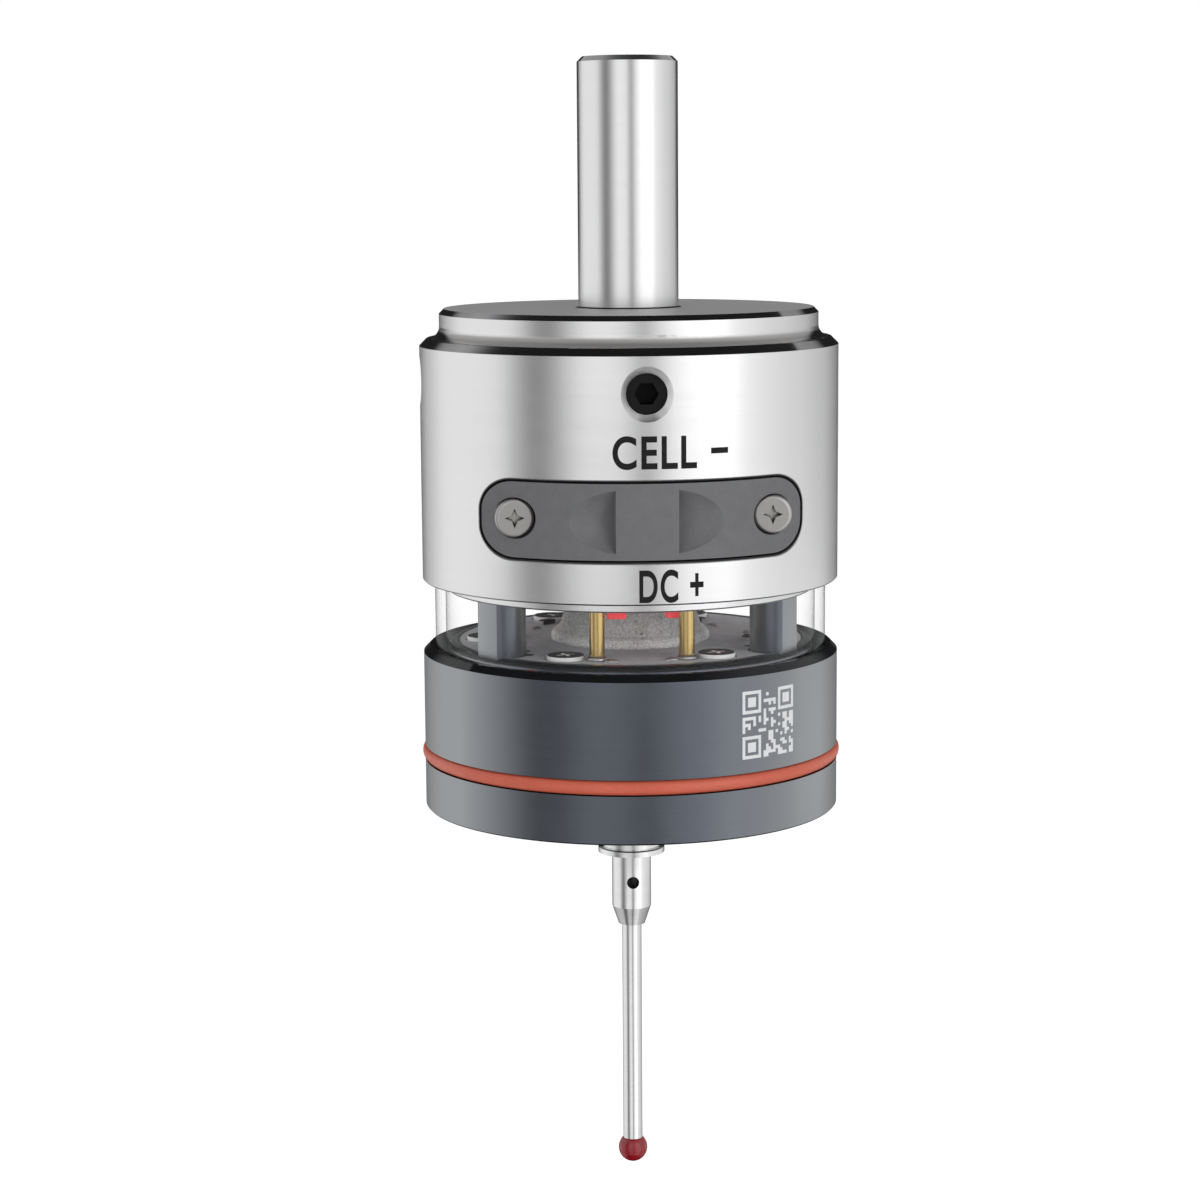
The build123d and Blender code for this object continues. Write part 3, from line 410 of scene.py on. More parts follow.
# %% Lay the card underfoot
# Metres from the middle over which the dark middle turns into open card, and the share of light in each
DARK_MIDDLE = (0.08, 0.144)
MIDDLE_LIGHT = 0.02
OPEN_LIGHT = 0.60
# Metres from the middle over which the card grows lighter still, and by how much
LIGHT_RIM = (0.34, 0.42)
RIM_LIGHT = 0.35

card, tree, shader = glow("underfoot_card")
place, _, stripes = striped(tree, STEEL_STRIPES)
distance = add_node(tree, "VectorMath", {0: place}, operation="LENGTH").outputs["Value"]
middle = spread(tree, distance, MIDDLE_LIGHT, OPEN_LIGHT, *DARK_MIDDLE)
open_card = do_math(tree, "ADD", middle, spread(tree, distance, 0.0, RIM_LIGHT, *LIGHT_RIM))
tree.links.new(do_math(tree, "MULTIPLY", stripes, open_card), shader.inputs["Color"])
shader.inputs["Strength"].default_value = BRIGHTEST

underfoot = add_piece("card_underfoot", flat_disc(RING_RADIUS, 0.0, 128), card)
underfoot.location = (0.0, 0.0, RING_FOOT)
only_mirrored(underfoot)
print("dark middle of the card underfoot:", DARK_MIDDLE[0], "m")

# %% [markdown]
# ## The card overhead
# The small bevels on the steel look black in the picture, because they mirror a dark place overhead. The
# bevels of a round body mirror an arch that starts above the object and falls away behind it on both sides.
# A dark arch on a pale card gives them that, and leaves flat faces pale when seen from above.

# %% Lay the card with the arch
# Where the arch crosses the middle, in metres along y, and how strongly it bends back to both sides
ARCH_SHIFT = -0.075
ARCH_BEND = 1.9
# Metres from the middle line of the arch over which the card grows light
ARCH_EDGE = (0.08, 0.16)
ARCH_LIGHT = 0.02
CEILING_LIGHT = 0.6

card, tree, shader = glow("arch_card")
parts = split(tree, object_place(tree))
bend = do_math(tree, "MULTIPLY", do_math(tree, "MULTIPLY", parts["X"], parts["X"]), ARCH_BEND)
from_arch = do_math(tree, "SUBTRACT", do_math(tree, "SUBTRACT", parts["Y"], bend), ARCH_SHIFT)
open_card = spread(tree, do_math(tree, "ABSOLUTE", from_arch), ARCH_LIGHT, CEILING_LIGHT, *ARCH_EDGE)
tree.links.new(open_card, shader.inputs["Strength"])

ceiling = add_piece("card_overhead", flat_disc(RING_RADIUS, RING_TOP, 128), card)
only_mirrored(ceiling)
print("light of the card overhead:", CEILING_LIGHT)

# %% [markdown]
# ## The floor
# The picture has no visible floor: the object hangs before white. A pale disc lies well below it, half matt
# so that it keeps the object's shadow, and half lit by itself where the camera or a mirror sees it, so that
# it ends up as white as the air. From below it is clear, so that the underside can be looked at.

# %% Lay the floor
FLOOR_HEIGHT = -0.25
FLOOR_RADIUS = 6.0
FLOOR_COLOUR = 0.93
FLOOR_GLOW = 1.62

floor_finish, tree, paint = new_finish("pale_floor", (FLOOR_COLOUR,) * 3, 0.9, Specular_IOR_Level=0.0)
noise = add_node(tree, "TexNoise", {"Vector": object_place(tree), "Scale": 3.0})
pale = mix_colours(tree, noise.outputs[0], (FLOOR_COLOUR,) * 3, (FLOOR_COLOUR + 0.01,) * 3)
tree.links.new(pale, paint.inputs["Base Color"])
lit = add_node(tree, "Emission", {"Strength": FLOOR_GLOW})
half_lit = blend(tree, do_math(tree, "MULTIPLY", seen_or_mirrored(tree), 0.5), paint, lit)
from_below = add_node(tree, "NewGeometry").outputs["Backfacing"]
blend(tree, from_below, half_lit, add_node(tree, "BsdfTransparent"))

shape = flat_disc(FLOOR_RADIUS, FLOOR_HEIGHT, 96)
shape.normal_update()
if shape.faces[:][0].normal.z < 0:
    bmesh.ops.reverse_faces(shape, faces=shape.faces)
floor = add_piece("floor", shape, floor_finish)
print("floor at", FLOOR_HEIGHT, "m")

# %% [markdown]
# ## Patterns for turned and ground metal
# A lathe or a grinder leaves rings: very fine lines that keep one height on a cylinder and one radius on a
# flat face. A wave texture would make them too even. A noise becomes such rings when its coordinates are
# stretched: slow round the piece, and fast across the rings. The distance from the axis is added to the
# height, so one pattern serves both faces.

# %% Helpers for patterns
def height_and_radius(tree):
    """The height of a point of the surface, and its distance from the upright axis."""
    parts = split(tree, object_place(tree))
    flat = add_node(tree, "CombineXYZ", {"X": parts["X"], "Y": parts["Y"]}).outputs[0]
    return parts["Z"], add_node(tree, "VectorMath", {0: flat}, operation="LENGTH").outputs["Value"]


def ring_pattern(tree, along, across, lean=0.73):
    """Coordinates in which a noise looks like fine turned rings."""
    parts = split(tree, object_place(tree))
    height, radius = height_and_radius(tree)
    across_rings = do_math(tree, "MULTIPLY_ADD", radius, lean, height)
    return add_node(tree, "CombineXYZ", {
        "X": do_math(tree, "MULTIPLY", parts["X"], along),
        "Y": do_math(tree, "MULTIPLY", parts["Y"], along),
        "Z": do_math(tree, "MULTIPLY", across_rings, across),
    }).outputs[0]


def noise_value(tree, vector, scale=1.0, detail=2.0, rough=0.5):
    """The grey value of a noise."""
    return add_node(tree, "TexNoise", {
        "Vector": vector,
        "Scale": scale,
        "Detail": detail,
        "Roughness": rough,
    }).outputs[0]


def bump_from(tree, shader, value, depth):
    """Lets a value raise the surface by up to this depth, in metres."""
    bump = add_node(tree, "Bump", {"Height": value, "Strength": 1.0, "Distance": depth})
    tree.links.new(bump.outputs[0], shader.inputs["Normal"])


print("pattern helpers are ready")

# %% [markdown]
# ## Turned and ground steel
# The upper housing is turned steel and the shank is ground. Both are bare metal, so the shader is fully
# metallic: its colour is the share of light that comes back. An image of brushed metal would need its own
# map for each piece. Here the rings change that share by a percent or two, the roughness a little more, and
# a bump of a tenth of a micron breaks the mirror. A turned face is duller than a turned cylinder, and a
# small bevel is glossier and painted darker, a painted shade for the dark it mirrors: the slope of the
# surface, its height and its distance from the axis tell them apart. Painted shade also darkens the hollow
# at the foot of the disc and the walls of the battery pocket, and a painted dark reflection lies on the
# ledge where it is seen edge on.

# %% Recipe for ringed steel
def ringed_steel(name, colour, roughness, along, across, play, depth):
    """Bare steel with fine rings. play says how much the colour wanders. Comes with its tree and shader."""
    material, tree, shader = new_finish(name, colour, roughness, Metallic=1.0)
    fine = noise_value(tree, ring_pattern(tree, along, across), detail=4.0, rough=0.6)
    broad = noise_value(tree, ring_pattern(tree, along * 0.4, across * 0.06), detail=2.0)
    both = do_math(tree, "MULTIPLY_ADD", broad, 0.5, do_math(tree, "MULTIPLY", fine, 0.5))
    dark = tuple(c * (1.0 - play) for c in colour)
    light = tuple(c * (1.0 + play) for c in colour)
    tint(tree, shader, both, dark, light)
    tree.links.new(spread(tree, both, roughness * 1.08, roughness * 0.93), shader.inputs["Roughness"])
    bump_from(tree, shader, fine, depth)
    return material, tree, shader


print("steel recipe is ready")

# %% Helpers for parts of a surface
def slopes(tree):
    """Where the surface is level, and where it leans between level and upright: 1 there, else 0."""
    normal = add_node(tree, "TexCoord").outputs["Normal"]
    slope = do_math(tree, "ABSOLUTE", split(tree, normal)["Z"])
    level = spread(tree, slope, 0.0, 1.0, 0.93, 0.97)
    leaning = do_math(tree, "SUBTRACT", spread(tree, slope, 0.0, 1.0, 0.30, 0.50), level)
    return level, leaning


def turned_away(tree):
    """How far the surface turns away from the eye: 0 where it is seen straight on, 1 at its outline."""
    return add_node(tree, "LayerWeight", {"Blend": 0.5}).outputs["Facing"]


def retouch(tree, shader, where, **values):
    """Changes inputs of the shader where a mask is 1."""
    for name, value in values.items():
        socket = shader.inputs[name.replace("_", " ")]
        old = socket.links[0].from_socket if socket.links else socket.default_value
        if isinstance(value, tuple):
            new = mix_colours(tree, where, old, value)
        else:
            new = do_math(tree, "MULTIPLY_ADD", where, do_math(tree, "SUBTRACT", value, old), old)
        tree.links.new(new, socket)


print("a finish can be changed where a mask says so")

# %% Mix the turned steel
turned_steel, tree, shader = ringed_steel(
    "turned_steel", (0.80, 0.80, 0.805), 0.25, along=60.0, across=9000.0, play=0.010, depth=0.12e-6,
)
level, leaning = slopes(tree)
height, radius = height_and_radius(tree)
away = turned_away(tree)

retouch(tree, shader, level, Roughness=0.55)
top_face = overlap(tree, level, rising(tree, height, -0.5, -0.3))
retouch(tree, shader, top_face, Base_Color=(0.50, 0.50, 0.505))
# Bevels are glossier, and painted darker: painted shade for the dark they mirror
bevels = overlap(tree, leaning, rising(tree, height, -4.4, -4.2))
retouch(tree, shader, bevels, Roughness=0.10, Base_Color=(0.42, 0.42, 0.43))

# The hollow at the foot of the disc is dull, and painted darker where it is seen straight on: painted
# shade in the corner. Where it is seen edge on it mirrors
hollow = overlap(
    tree,
    band(tree, height, (-3.2, -3.1), (-1.85, -1.70)),
    band(tree, radius, (18.96, 19.05), (20.20, 20.24)),
    spread(tree, away, 1.0, 0.0, 0.64, 0.74),
)
retouch(tree, shader, hollow, Roughness=0.50, Base_Color=(0.50, 0.49, 0.48))
# The ledge is painted dark where it is seen edge on: a painted reflection of the dark it mirrors
ledge = overlap(
    tree,
    level,
    band(tree, height, (-3.2, -3.1), (-2.8, -2.6)),
    spread(tree, away, 0.0, 1.0, 0.74, 0.82),
)
retouch(tree, shader, ledge, Roughness=0.10, Base_Color=(0.15, 0.15, 0.15))

# The walls of the battery pocket are dull, and painted dark: painted shade of the cover in the gap
pocket_heights = band(tree, height, (-24.6, -24.5), (-13.9, -13.8))
pocket_wall_shade = overlap(tree, pocket_heights, falling(tree, radius, 20.86, 20.92))
retouch(tree, shader, pocket_wall_shade, Base_Color=(0.03, 0.03, 0.03), Roughness=0.60, Metallic=0.2)
print("turned steel: top face, bevels, hollow, ledge and pocket walls are retouched")

# %% Mix the ground and the polished steel
ground_steel, tree, shader = ringed_steel(
    "ground_steel", (0.79, 0.79, 0.795), 0.21, along=90.0, across=12000.0, play=0.012, depth=0.12e-6,
)
# The shank's bevels are glossier, and painted darker: painted shade for the dark they mirror
retouch(tree, shader, slopes(tree)[1], Roughness=0.10, Base_Color=(0.40, 0.40, 0.41))
# The corner where the shank enters the disc is painted dark: painted shade at the root
root_shade = falling(tree, height_and_radius(tree)[0], 0.10, 0.16)
retouch(tree, shader, root_shade, Base_Color=(0.03, 0.03, 0.03))

polished_steel, tree, shader = ringed_steel(
    "polished_steel", (0.82, 0.82, 0.825), 0.13, along=200.0, across=15000.0, play=0.03, depth=0.1e-6,
)
# The walls of the cross hole in the holder are painted dark: painted shade inside the hole
height, radius = height_and_radius(tree)
hole_heights = band(tree, height, (-59.6, -59.5), (-57.6, -57.5))
hole_shade = overlap(tree, hole_heights, falling(tree, radius, 1.80, 1.92))
retouch(tree, shader, hole_shade, Base_Color=(0.07, 0.07, 0.07))
print("ground and polished steel are ready")

# %% Mix the other steels
stem_steel = ringed_steel(
    "stem_steel", (0.82, 0.82, 0.825), 0.17, along=200.0, across=15000.0, play=0.03, depth=0.1e-6,
)[0]
inner_steel = ringed_steel(
    "inner_steel", (0.55, 0.55, 0.56), 0.34, along=60.0, across=6000.0, play=0.06, depth=0.6e-6,
)[0]
bearing_steel = ringed_steel(
    "bearing_steel", (0.72, 0.72, 0.73), 0.08, along=300.0, across=3000.0, play=0.02, depth=0.05e-6,
)[0]
print("stem, inner and bearing steel are ready")

# %% [markdown]
# ## Slate grey anodised aluminium
# The lower housing, its posts and the base are aluminium with a dyed oxide skin, blasted first. It mirrors
# only a sixth of the light, softly and a little blue, and much more where it turns away. It could be mixed
# from a dark paint and a clear coat. A metallic shader with that colour does the same with fewer numbers.
# The skin turns pale sooner than bare metal, so the colour also follows how far the surface faces away.
# Faint clouds and fine lines break it up. Bevels and the rim of the lower housing are glossier, and painted
# darker: painted shade for the dark they mirror.

# %% Mix the slate finish
SLATE_DARK = (0.124, 0.136, 0.160)
SLATE_LIGHT = (0.133, 0.146, 0.172)
SLATE_EDGE = (0.328, 0.342, 0.356)
# Painted shade: the bevels and the rim are darkened for the dark they mirror
SLATE_BEVEL_SHADE = (0.021, 0.022, 0.024)
SLATE_RIM_SHADE = (0.060, 0.062, 0.066)

slate_body, tree, shader = new_finish("slate_body", SLATE_LIGHT, 0.30, Metallic=1.0)
lines = noise_value(tree, ring_pattern(tree, along=40.0, across=6000.0), detail=3.0)
clouds = noise_value(tree, object_place(tree), scale=350.0, detail=3.0)
share = do_math(tree, "MULTIPLY_ADD", clouds, 0.5, do_math(tree, "MULTIPLY", lines, 0.5))
skin = mix_colours(tree, spread(tree, share, 0.0, 1.0), SLATE_DARK, SLATE_LIGHT)
skin = mix_colours(tree, spread(tree, turned_away(tree), 0.0, 1.0, 0.08, 0.45), skin, SLATE_EDGE)
tree.links.new(skin, shader.inputs["Base Color"])
tree.links.new(spread(tree, share, 0.28, 0.31), shader.inputs["Roughness"])
bump_from(tree, shader, lines, 0.05e-6)
level, leaning = slopes(tree)
# Bevels and the rim are painted dark: painted shade for the dark they mirror
retouch(tree, shader, leaning, Roughness=0.05, Base_Color=SLATE_BEVEL_SHADE, Metallic=0.6)
rim = overlap(tree, level, rising(tree, height_and_radius(tree)[1], 18.65, 18.75))
retouch(tree, shader, rim, Roughness=0.10, Base_Color=SLATE_RIM_SHADE)
print("slate finish is ready")

# %% [markdown]
# ## Mottled finishes
# Many small pieces differ in colour, gloss and grain, but are built up in the same way: a noise of the right
# size moves the colour between two near shades, the roughness between two values, and raises the surface.
# One recipe with different numbers serves them all, which keeps them easy to compare.

# %% Recipe for a mottled finish
def mottled(name, dark, light, rough, grain, depth, **numbers):
    """A finish whose colour and roughness go from dark to light with a grain, which is also raised."""
    material, tree, shader = new_finish(name, light, rough[0], **numbers)
    place = object_place(tree)
    fine = noise_value(tree, place, scale=1.0 / (grain * MM), detail=3.0, rough=0.6)
    broad = noise_value(tree, place, scale=0.1 / (grain * MM), detail=2.0)
    both = do_math(tree, "MULTIPLY_ADD", broad, 0.4, do_math(tree, "MULTIPLY", fine, 0.6))
    tint(tree, shader, both, dark, light)
    tree.links.new(spread(tree, both, *rough), shader.inputs["Roughness"])
    bump_from(tree, shader, fine, depth * MM)
    return material


print("mottled recipe is ready")

# %% Mix the mottled metals
# Dark and light colour, roughness in the dark and in the light, size and depth of the grain in millimetres
spring_steel = mottled(
    "spring_steel", (0.36, 0.36, 0.37), (0.46, 0.46, 0.47), (0.38, 0.28), 0.15, 0.002, Metallic=1.0,
)
black_screw = mottled(
    "black_screw", (0.0035, 0.0035, 0.004), (0.006, 0.006, 0.0065), (0.50, 0.38), 0.2, 0.002,
    Specular_IOR_Level=0.15,
)
blued_screw = mottled(
    "blued_screw", (0.020, 0.020, 0.021), (0.032, 0.032, 0.034), (0.42, 0.34), 0.3, 0.001, Metallic=0.2,
)
# The cross in each head is painted bright: a painted glint
tree = blued_screw.node_tree
shader = tree.nodes["Principled BSDF"]
cross_glint = falling(tree, height_and_radius(tree)[0], -33.02, -32.98)
retouch(tree, shader, cross_glint, Base_Color=(0.85, 0.85, 0.84))
nickel_screw = mottled(
    "nickel_screw", (0.44, 0.43, 0.415), (0.47, 0.46, 0.445), (0.36, 0.30), 0.4, 0.0003, Metallic=1.0,
)
contact_strip = mottled(
    "contact_strip", (0.52, 0.52, 0.50), (0.60, 0.60, 0.58), (0.30, 0.20), 0.4, 0.002, Metallic=1.0,
)
cell_case = mottled(
    "cell_case", (0.58, 0.58, 0.58), (0.66, 0.66, 0.66), (0.32, 0.22), 0.5, 0.001, Metallic=1.0,
)
brass = mottled(
    "brass", (0.62, 0.44, 0.17), (0.68, 0.50, 0.22), (0.24, 0.18), 0.5, 0.0005, Metallic=1.0,
)
solder = mottled(
    "solder", (0.46, 0.46, 0.45), (0.60, 0.60, 0.59), (0.36, 0.24), 0.3, 0.004, Metallic=1.0,
)
print("mottled metals are ready")

# %% Mix the plastics, the board and the inks
grey_plastic = mottled(
    "grey_plastic", (0.108, 0.109, 0.113), (0.126, 0.127, 0.132), (0.62, 0.50), 0.12, 0.010,
)
black_plastic = mottled(
    "black_plastic", (0.016, 0.016, 0.017), (0.024, 0.024, 0.025), (0.50, 0.38), 0.2, 0.006,
)
red_rubber = mottled(
    "red_rubber", (0.50, 0.088, 0.048), (0.55, 0.108, 0.060), (0.36, 0.28), 0.25, 0.003,
)
board = mottled("board", (0.44, 0.46, 0.475), (0.60, 0.62, 0.64), (0.75, 0.62), 0.14, 0.004)
ink_and_hole_shade = mottled(
    "ink_and_hole_shade", (0.0045, 0.0045, 0.005), (0.009, 0.009, 0.0095), (0.62, 0.50), 0.15, 0.002,
    Specular_IOR_Level=0.2,
)
pale_ink = mottled("pale_ink", (0.60, 0.61, 0.62), (0.68, 0.69, 0.70), (0.60, 0.48), 0.10, 0.002)
print("plastics, board and inks are ready")

# %% [markdown]
# ## Rough cast metal
# The spring cap is left as it came from the mould: pale grey, grainy, with dark pits and a few bright
# specks, and its lip is painted brighter, a painted light. A photograph of a casting could be laid on it. Two
# noises of different sizes give the grain, and the deep tail of a third one gives the pits, so the grain has
# the right size on every side.

# %% Mix the cast finish
cast_cap, tree, shader = new_finish("cast_cap", (0.62, 0.62, 0.61), 0.75, Metallic=0.2)
place = object_place(tree)
grain = noise_value(tree, place, scale=5200.0, detail=4.0, rough=0.7)
patches = noise_value(tree, place, scale=700.0, detail=3.0)
pits = spread(tree, noise_value(tree, place, scale=2900.0, detail=2.0), 1.0, 0.0, 0.29, 0.37)
ground = mix_colours(tree, spread(tree, patches, 0.0, 1.0), (0.46, 0.46, 0.45), (0.60, 0.60, 0.59))
speckled = mix_colours(tree, spread(tree, grain, 0.0, 0.75, 0.46, 0.66), ground, (0.90, 0.90, 0.88))
pitted = mix_colours(tree, pits, speckled, (0.26, 0.26, 0.26))
tree.links.new(pitted, shader.inputs["Base Color"])
lip = spread(tree, split(tree, place)["Z"], 0.8, 0.0, -32.6 * MM, -32.0 * MM)
# Painted light: the lip is made brighter in the specks of the grain
lit_lip = overlap(tree, lip, spread(tree, grain, 0.25, 1.0, 0.40, 0.60))
retouch(tree, shader, lit_lip, Base_Color=(0.97, 0.97, 0.95))
tree.links.new(spread(tree, grain, 0.85, 0.60), shader.inputs["Roughness"])
bump_from(tree, shader, do_math(tree, "SUBTRACT", grain, pits), 0.05 * MM)
print("cast finish is ready")

# %% [markdown]
# ## Clear window
# The window is a polished clear tube. A glass shader would bend what is behind it, but this wall is thin and
# even, and in the picture nothing behind it is moved. So the tube lets light straight through, and mirrors
# more and more of it where the wall turns away, which draws the two thin grey lines at its sides.

# %% Mix the clear finish
clear_window, tree, shader = new_finish("clear_window", (0.95, 0.97, 0.97), 0.03, Metallic=1.0)
edge = do_math(tree, "POWER", turned_away(tree), 7.0)
smears = noise_value(tree, object_place(tree), scale=400.0, detail=3.0)
tree.links.new(spread(tree, smears, 0.02, 0.06), shader.inputs["Roughness"])
mirrored = do_math(tree, "MULTIPLY_ADD", edge, 0.85, 0.012)
blend(tree, mirrored, add_node(tree, "BsdfTransparent", {"Color": (1.0, 1.0, 1.0, 1.0)}), shader)
print("clear finish is ready")

# %% [markdown]
# ## Lamps and ruby
# The signal lamps are small blocks of red clear plastic that glow when the stylus touches. The ball is
# synthetic ruby, ground and polished: deep red, hard and glossy. Both could be clear glass with a red body.
# In the picture neither can be seen into, so they are solid red with a faint veil, the lamps glow a little,
# and the ball has the high index of refraction that gives it its sharp white gleam.

# %% Mix the red finishes
red_lamp, tree, shader = new_finish("red_lamp", (0.85, 0.02, 0.04), 0.22, IOR=1.5)
core = noise_value(tree, object_place(tree), scale=900.0)
tint(tree, shader, core, (0.75, 0.01, 0.03), (0.95, 0.04, 0.06))
shader.inputs["Emission Color"].default_value = (1.0, 0.10, 0.12, 1.0)
shader.inputs["Emission Strength"].default_value = 0.30

ruby, tree, shader = new_finish("ruby", (0.24, 0.008, 0.014), 0.06, IOR=1.60)
veil = noise_value(tree, object_place(tree), scale=900.0, detail=2.0)
tint(tree, shader, veil, (0.21, 0.005, 0.010), (0.28, 0.010, 0.017))
tree.links.new(spread(tree, veil, 0.05, 0.09), shader.inputs["Roughness"])
print("red finishes are ready")

# %% [markdown]
# ## Dress the CAD pieces
# Most CAD solids already have their true shape. They could be copied and made finer, but then they might no
# longer fit each other. So each node's mesh stays as it is, and its finish goes into its material slot.

# %% Give every CAD node its finish
# Each finish, with the nodes that wear it
FINISHES = (
    (ground_steel, "shank"),
    (turned_steel, "upper_housing"),
    (polished_steel, "stylus_carrier", "stylus_holder"),
    (stem_steel, "stylus_stem"),
    (inner_steel, "shank_clamp_plate", "spring_plunger", "spider_hub", "seat_ring"),
    (bearing_steel, "thrust_ball", "hub_pins", "seat_balls"),
    (spring_steel, "return_spring"),
    (slate_body, "lower_housing", "base_cap"),
    (cast_cap, "spring_cap"),
    (
        black_screw, "clamp_screws", "set_screw_front", "set_screw_left", "set_screw_rear",
        "set_screw_right", "post_screws", "base_screws",
    ),
    (blued_screw, "board_screws"),
    (nickel_screw, "cover_screws", "upper_board_screws"),
    (contact_strip, "cell_spring_contact", "cell_plate_contact"),
    (cell_case, "coin_cell"),
    (brass, "contact_pins"),
    (grey_plastic, "battery_cover"),
    (black_plastic, "battery_holder", "buzzer", "control_chip"),
    (red_rubber, "seal_ring"),
    (board, "upper_board", "lower_board"),
    (clear_window, "window_tube"),
    (red_lamp, "signal_lamps"),
    (ruby, "ruby_ball"),
)
undressed = set(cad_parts)
for finish, *names in FINISHES:
    for name in names:
        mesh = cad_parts[name].data
        if mesh.materials:
            mesh.materials[0] = finish
        else:
            mesh.materials.append(finish)
        undressed.remove(name)
print("finishes:", len(FINISHES), "nodes left bare:", sorted(undressed))

# %% [markdown]
# ## The spring cap
# The cap over the return spring is a small casting: a flange, a steep dome above the board, and a skirt
# below it. A subdivision surface with a displacement texture could roughen it. Here half its section is spun
# round the axis in many small steps, and each point of its skin is then moved out or in a little by a fixed
# noise, so the real shape has the dents that the finish only colours.

# %% Helpers for turned shapes
def with_steps(points, step):
    """Points along a line of straight runs, no further apart than one step."""
    filled = []
    for start, end in zip(points, points[1:]):
        count = max(1, math.ceil((end - start).length / step))
        filled += [start.lerp(end, number / count) for number in range(count)]
    return filled + [points[-1]]


def turn_round(shape, parts, turns, steps, rise=0.0, **options):
    """Spins parts of a shape round the upright axis, and gives back where they end. rise is in metres."""
    return bmesh.ops.spin(
        shape,
        geom=parts,
        cent=(0.0, 0.0, 0.0),
        axis=(0.0, 0.0, 1.0),
        dvec=(0.0, 0.0, rise / steps),
        angle=math.radians(360.0 * turns),
        steps=steps,
        **options,
    )["geom_last"]


def spun(outline, step, facets):
    """A closed shape: a section of (radius, height) in millimetres, spun round the upright axis."""
    shape = bmesh.new()
    points = with_steps([Vector((radius, 0.0, height)) * MM for radius, height in outline], step * MM)
    verts = [shape.verts.new(point) for point in points]
    edges = [shape.edges.new(pair) for pair in zip(verts, verts[1:])]
    turn_round(shape, verts + edges, 1.0, facets, use_merge=True)
    bmesh.ops.remove_doubles(shape, verts=shape.verts, dist=1e-6)
    bmesh.ops.recalc_face_normals(shape, faces=shape.faces)
    return shape


print("a section can be spun into a closed shape")

# %% Spin and roughen the cap
# Radius and height in millimetres: over the roof and the dome, down the skirt, and back up the bore
CAP_SECTION = (
    (0.0, -29.4), (6.07, -29.4), (6.50, -30.3), (6.84, -31.2), (7.06, -31.9), (7.32, -32.28),
    (7.72, -32.50), (7.95, -32.85), (8.0, -33.4), (6.6, -33.4), (6.6, -39.4), (5.7, -39.4),
    (5.7, -34.2), (4.8, -34.2), (4.8, -30.9), (0.0, -30.9),
)
BORE_RADIUS = 4.9 * MM
ROOF_FOOT = -29.6 * MM
SKIN_FOOT = -33.35 * MM
BIG_DENT = 1.1 * MM
SMALL_DENT = 0.45 * MM
DENT_DEPTH = 0.09 * MM

shape = spun(CAP_SECTION, step=0.2, facets=200)
shape.normal_update()
outside = [vert for vert in shape.verts if vert.co.z > SKIN_FOOT and vert.normal.z > -0.5]
rough = [vert for vert in outside if vert.co.xy.length > BORE_RADIUS]
rough += [vert for vert in shape.verts if vert.co.z > ROOF_FOOT and vert.co.xy.length <= BORE_RADIUS]
for vert in rough:
    dent = mathutils.noise.noise(vert.co / BIG_DENT) + 0.6 * mathutils.noise.noise(vert.co / SMALL_DENT)
    vert.co += vert.normal * dent * DENT_DEPTH
cap = add_piece("cap_casting", shape, cast_cap, smooth=True)
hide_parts("spring_cap")
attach(cap, "housing")
print("points moved on the cap:", len(rough))

# %% [markdown]
# ## The return spring
# The spring is round wire wound five times, with its first and last turns laid flat. A curve with a bevel
# would do, but a spun mesh keeps its wire round from end to end. So the wire's section is spun three times
# in a row, each time with its own rise, and the finished piece gets a mesh of its own.

# %% Wind the return spring
# Lengths and heights in millimetres
WIRE_RADIUS = 0.4
COIL_RADIUS = 4.05
COIL_FOOT = -39.25
COIL_TOP = -30.92
TURNS = 5.0
END_TURNS = 0.8
END_RISE = 0.55
STEPS_A_TURN = 48

shape = bmesh.new()
wire = bmesh.ops.create_circle(shape, radius=WIRE_RADIUS * MM, segments=14)["verts"]
upright = Matrix.Rotation(math.radians(90.0), 3, "X")
bmesh.ops.rotate(shape, verts=wire, cent=(0.0, 0.0, 0.0), matrix=upright)
bmesh.ops.translate(shape, verts=wire, vec=Vector((COIL_RADIUS, 0.0, COIL_FOOT + WIRE_RADIUS)) * MM)
middle_rise = COIL_TOP - COIL_FOOT - 2.0 * WIRE_RADIUS - 2.0 * END_RISE
last = shape.verts[:] + shape.edges[:]
for turns, rise in ((END_TURNS, END_RISE), (TURNS - 2.0 * END_TURNS, middle_rise), (END_TURNS, END_RISE)):
    last = turn_round(shape, last, turns, round(turns * STEPS_A_TURN), rise * MM)
bmesh.ops.holes_fill(shape, edges=[edge for edge in shape.edges if edge.is_boundary])
bmesh.ops.recalc_face_normals(shape, faces=shape.faces)
spring = add_piece("return_coil", shape, spring_steel, smooth=True)
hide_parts("return_spring")
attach(spring, "housing")
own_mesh(spring)
print("spring from", COIL_FOOT, "to", COIL_TOP, "mm")

# %% [markdown]
# ## Print on the housing
# The place of the cell and its poles are printed in black round the battery cover, and a square block of
# pale cells is marked on the lower housing. Print has hardly any thickness, and an image could carry it, but
# a thin closed film stays sharp from near by and needs no picture. Each film is made flat, cut into narrow
# strips, and bent round the housing. The words and the block are plain ones that stand for nothing.

# %% Bend a film round the housing
# Lengths in millimetres. The film starts a little inside the surface, so that no light shows under it
HOUSING_RADIUS = 20.95
FILM_SINK = 0.02
FILM_RISE = 0.008


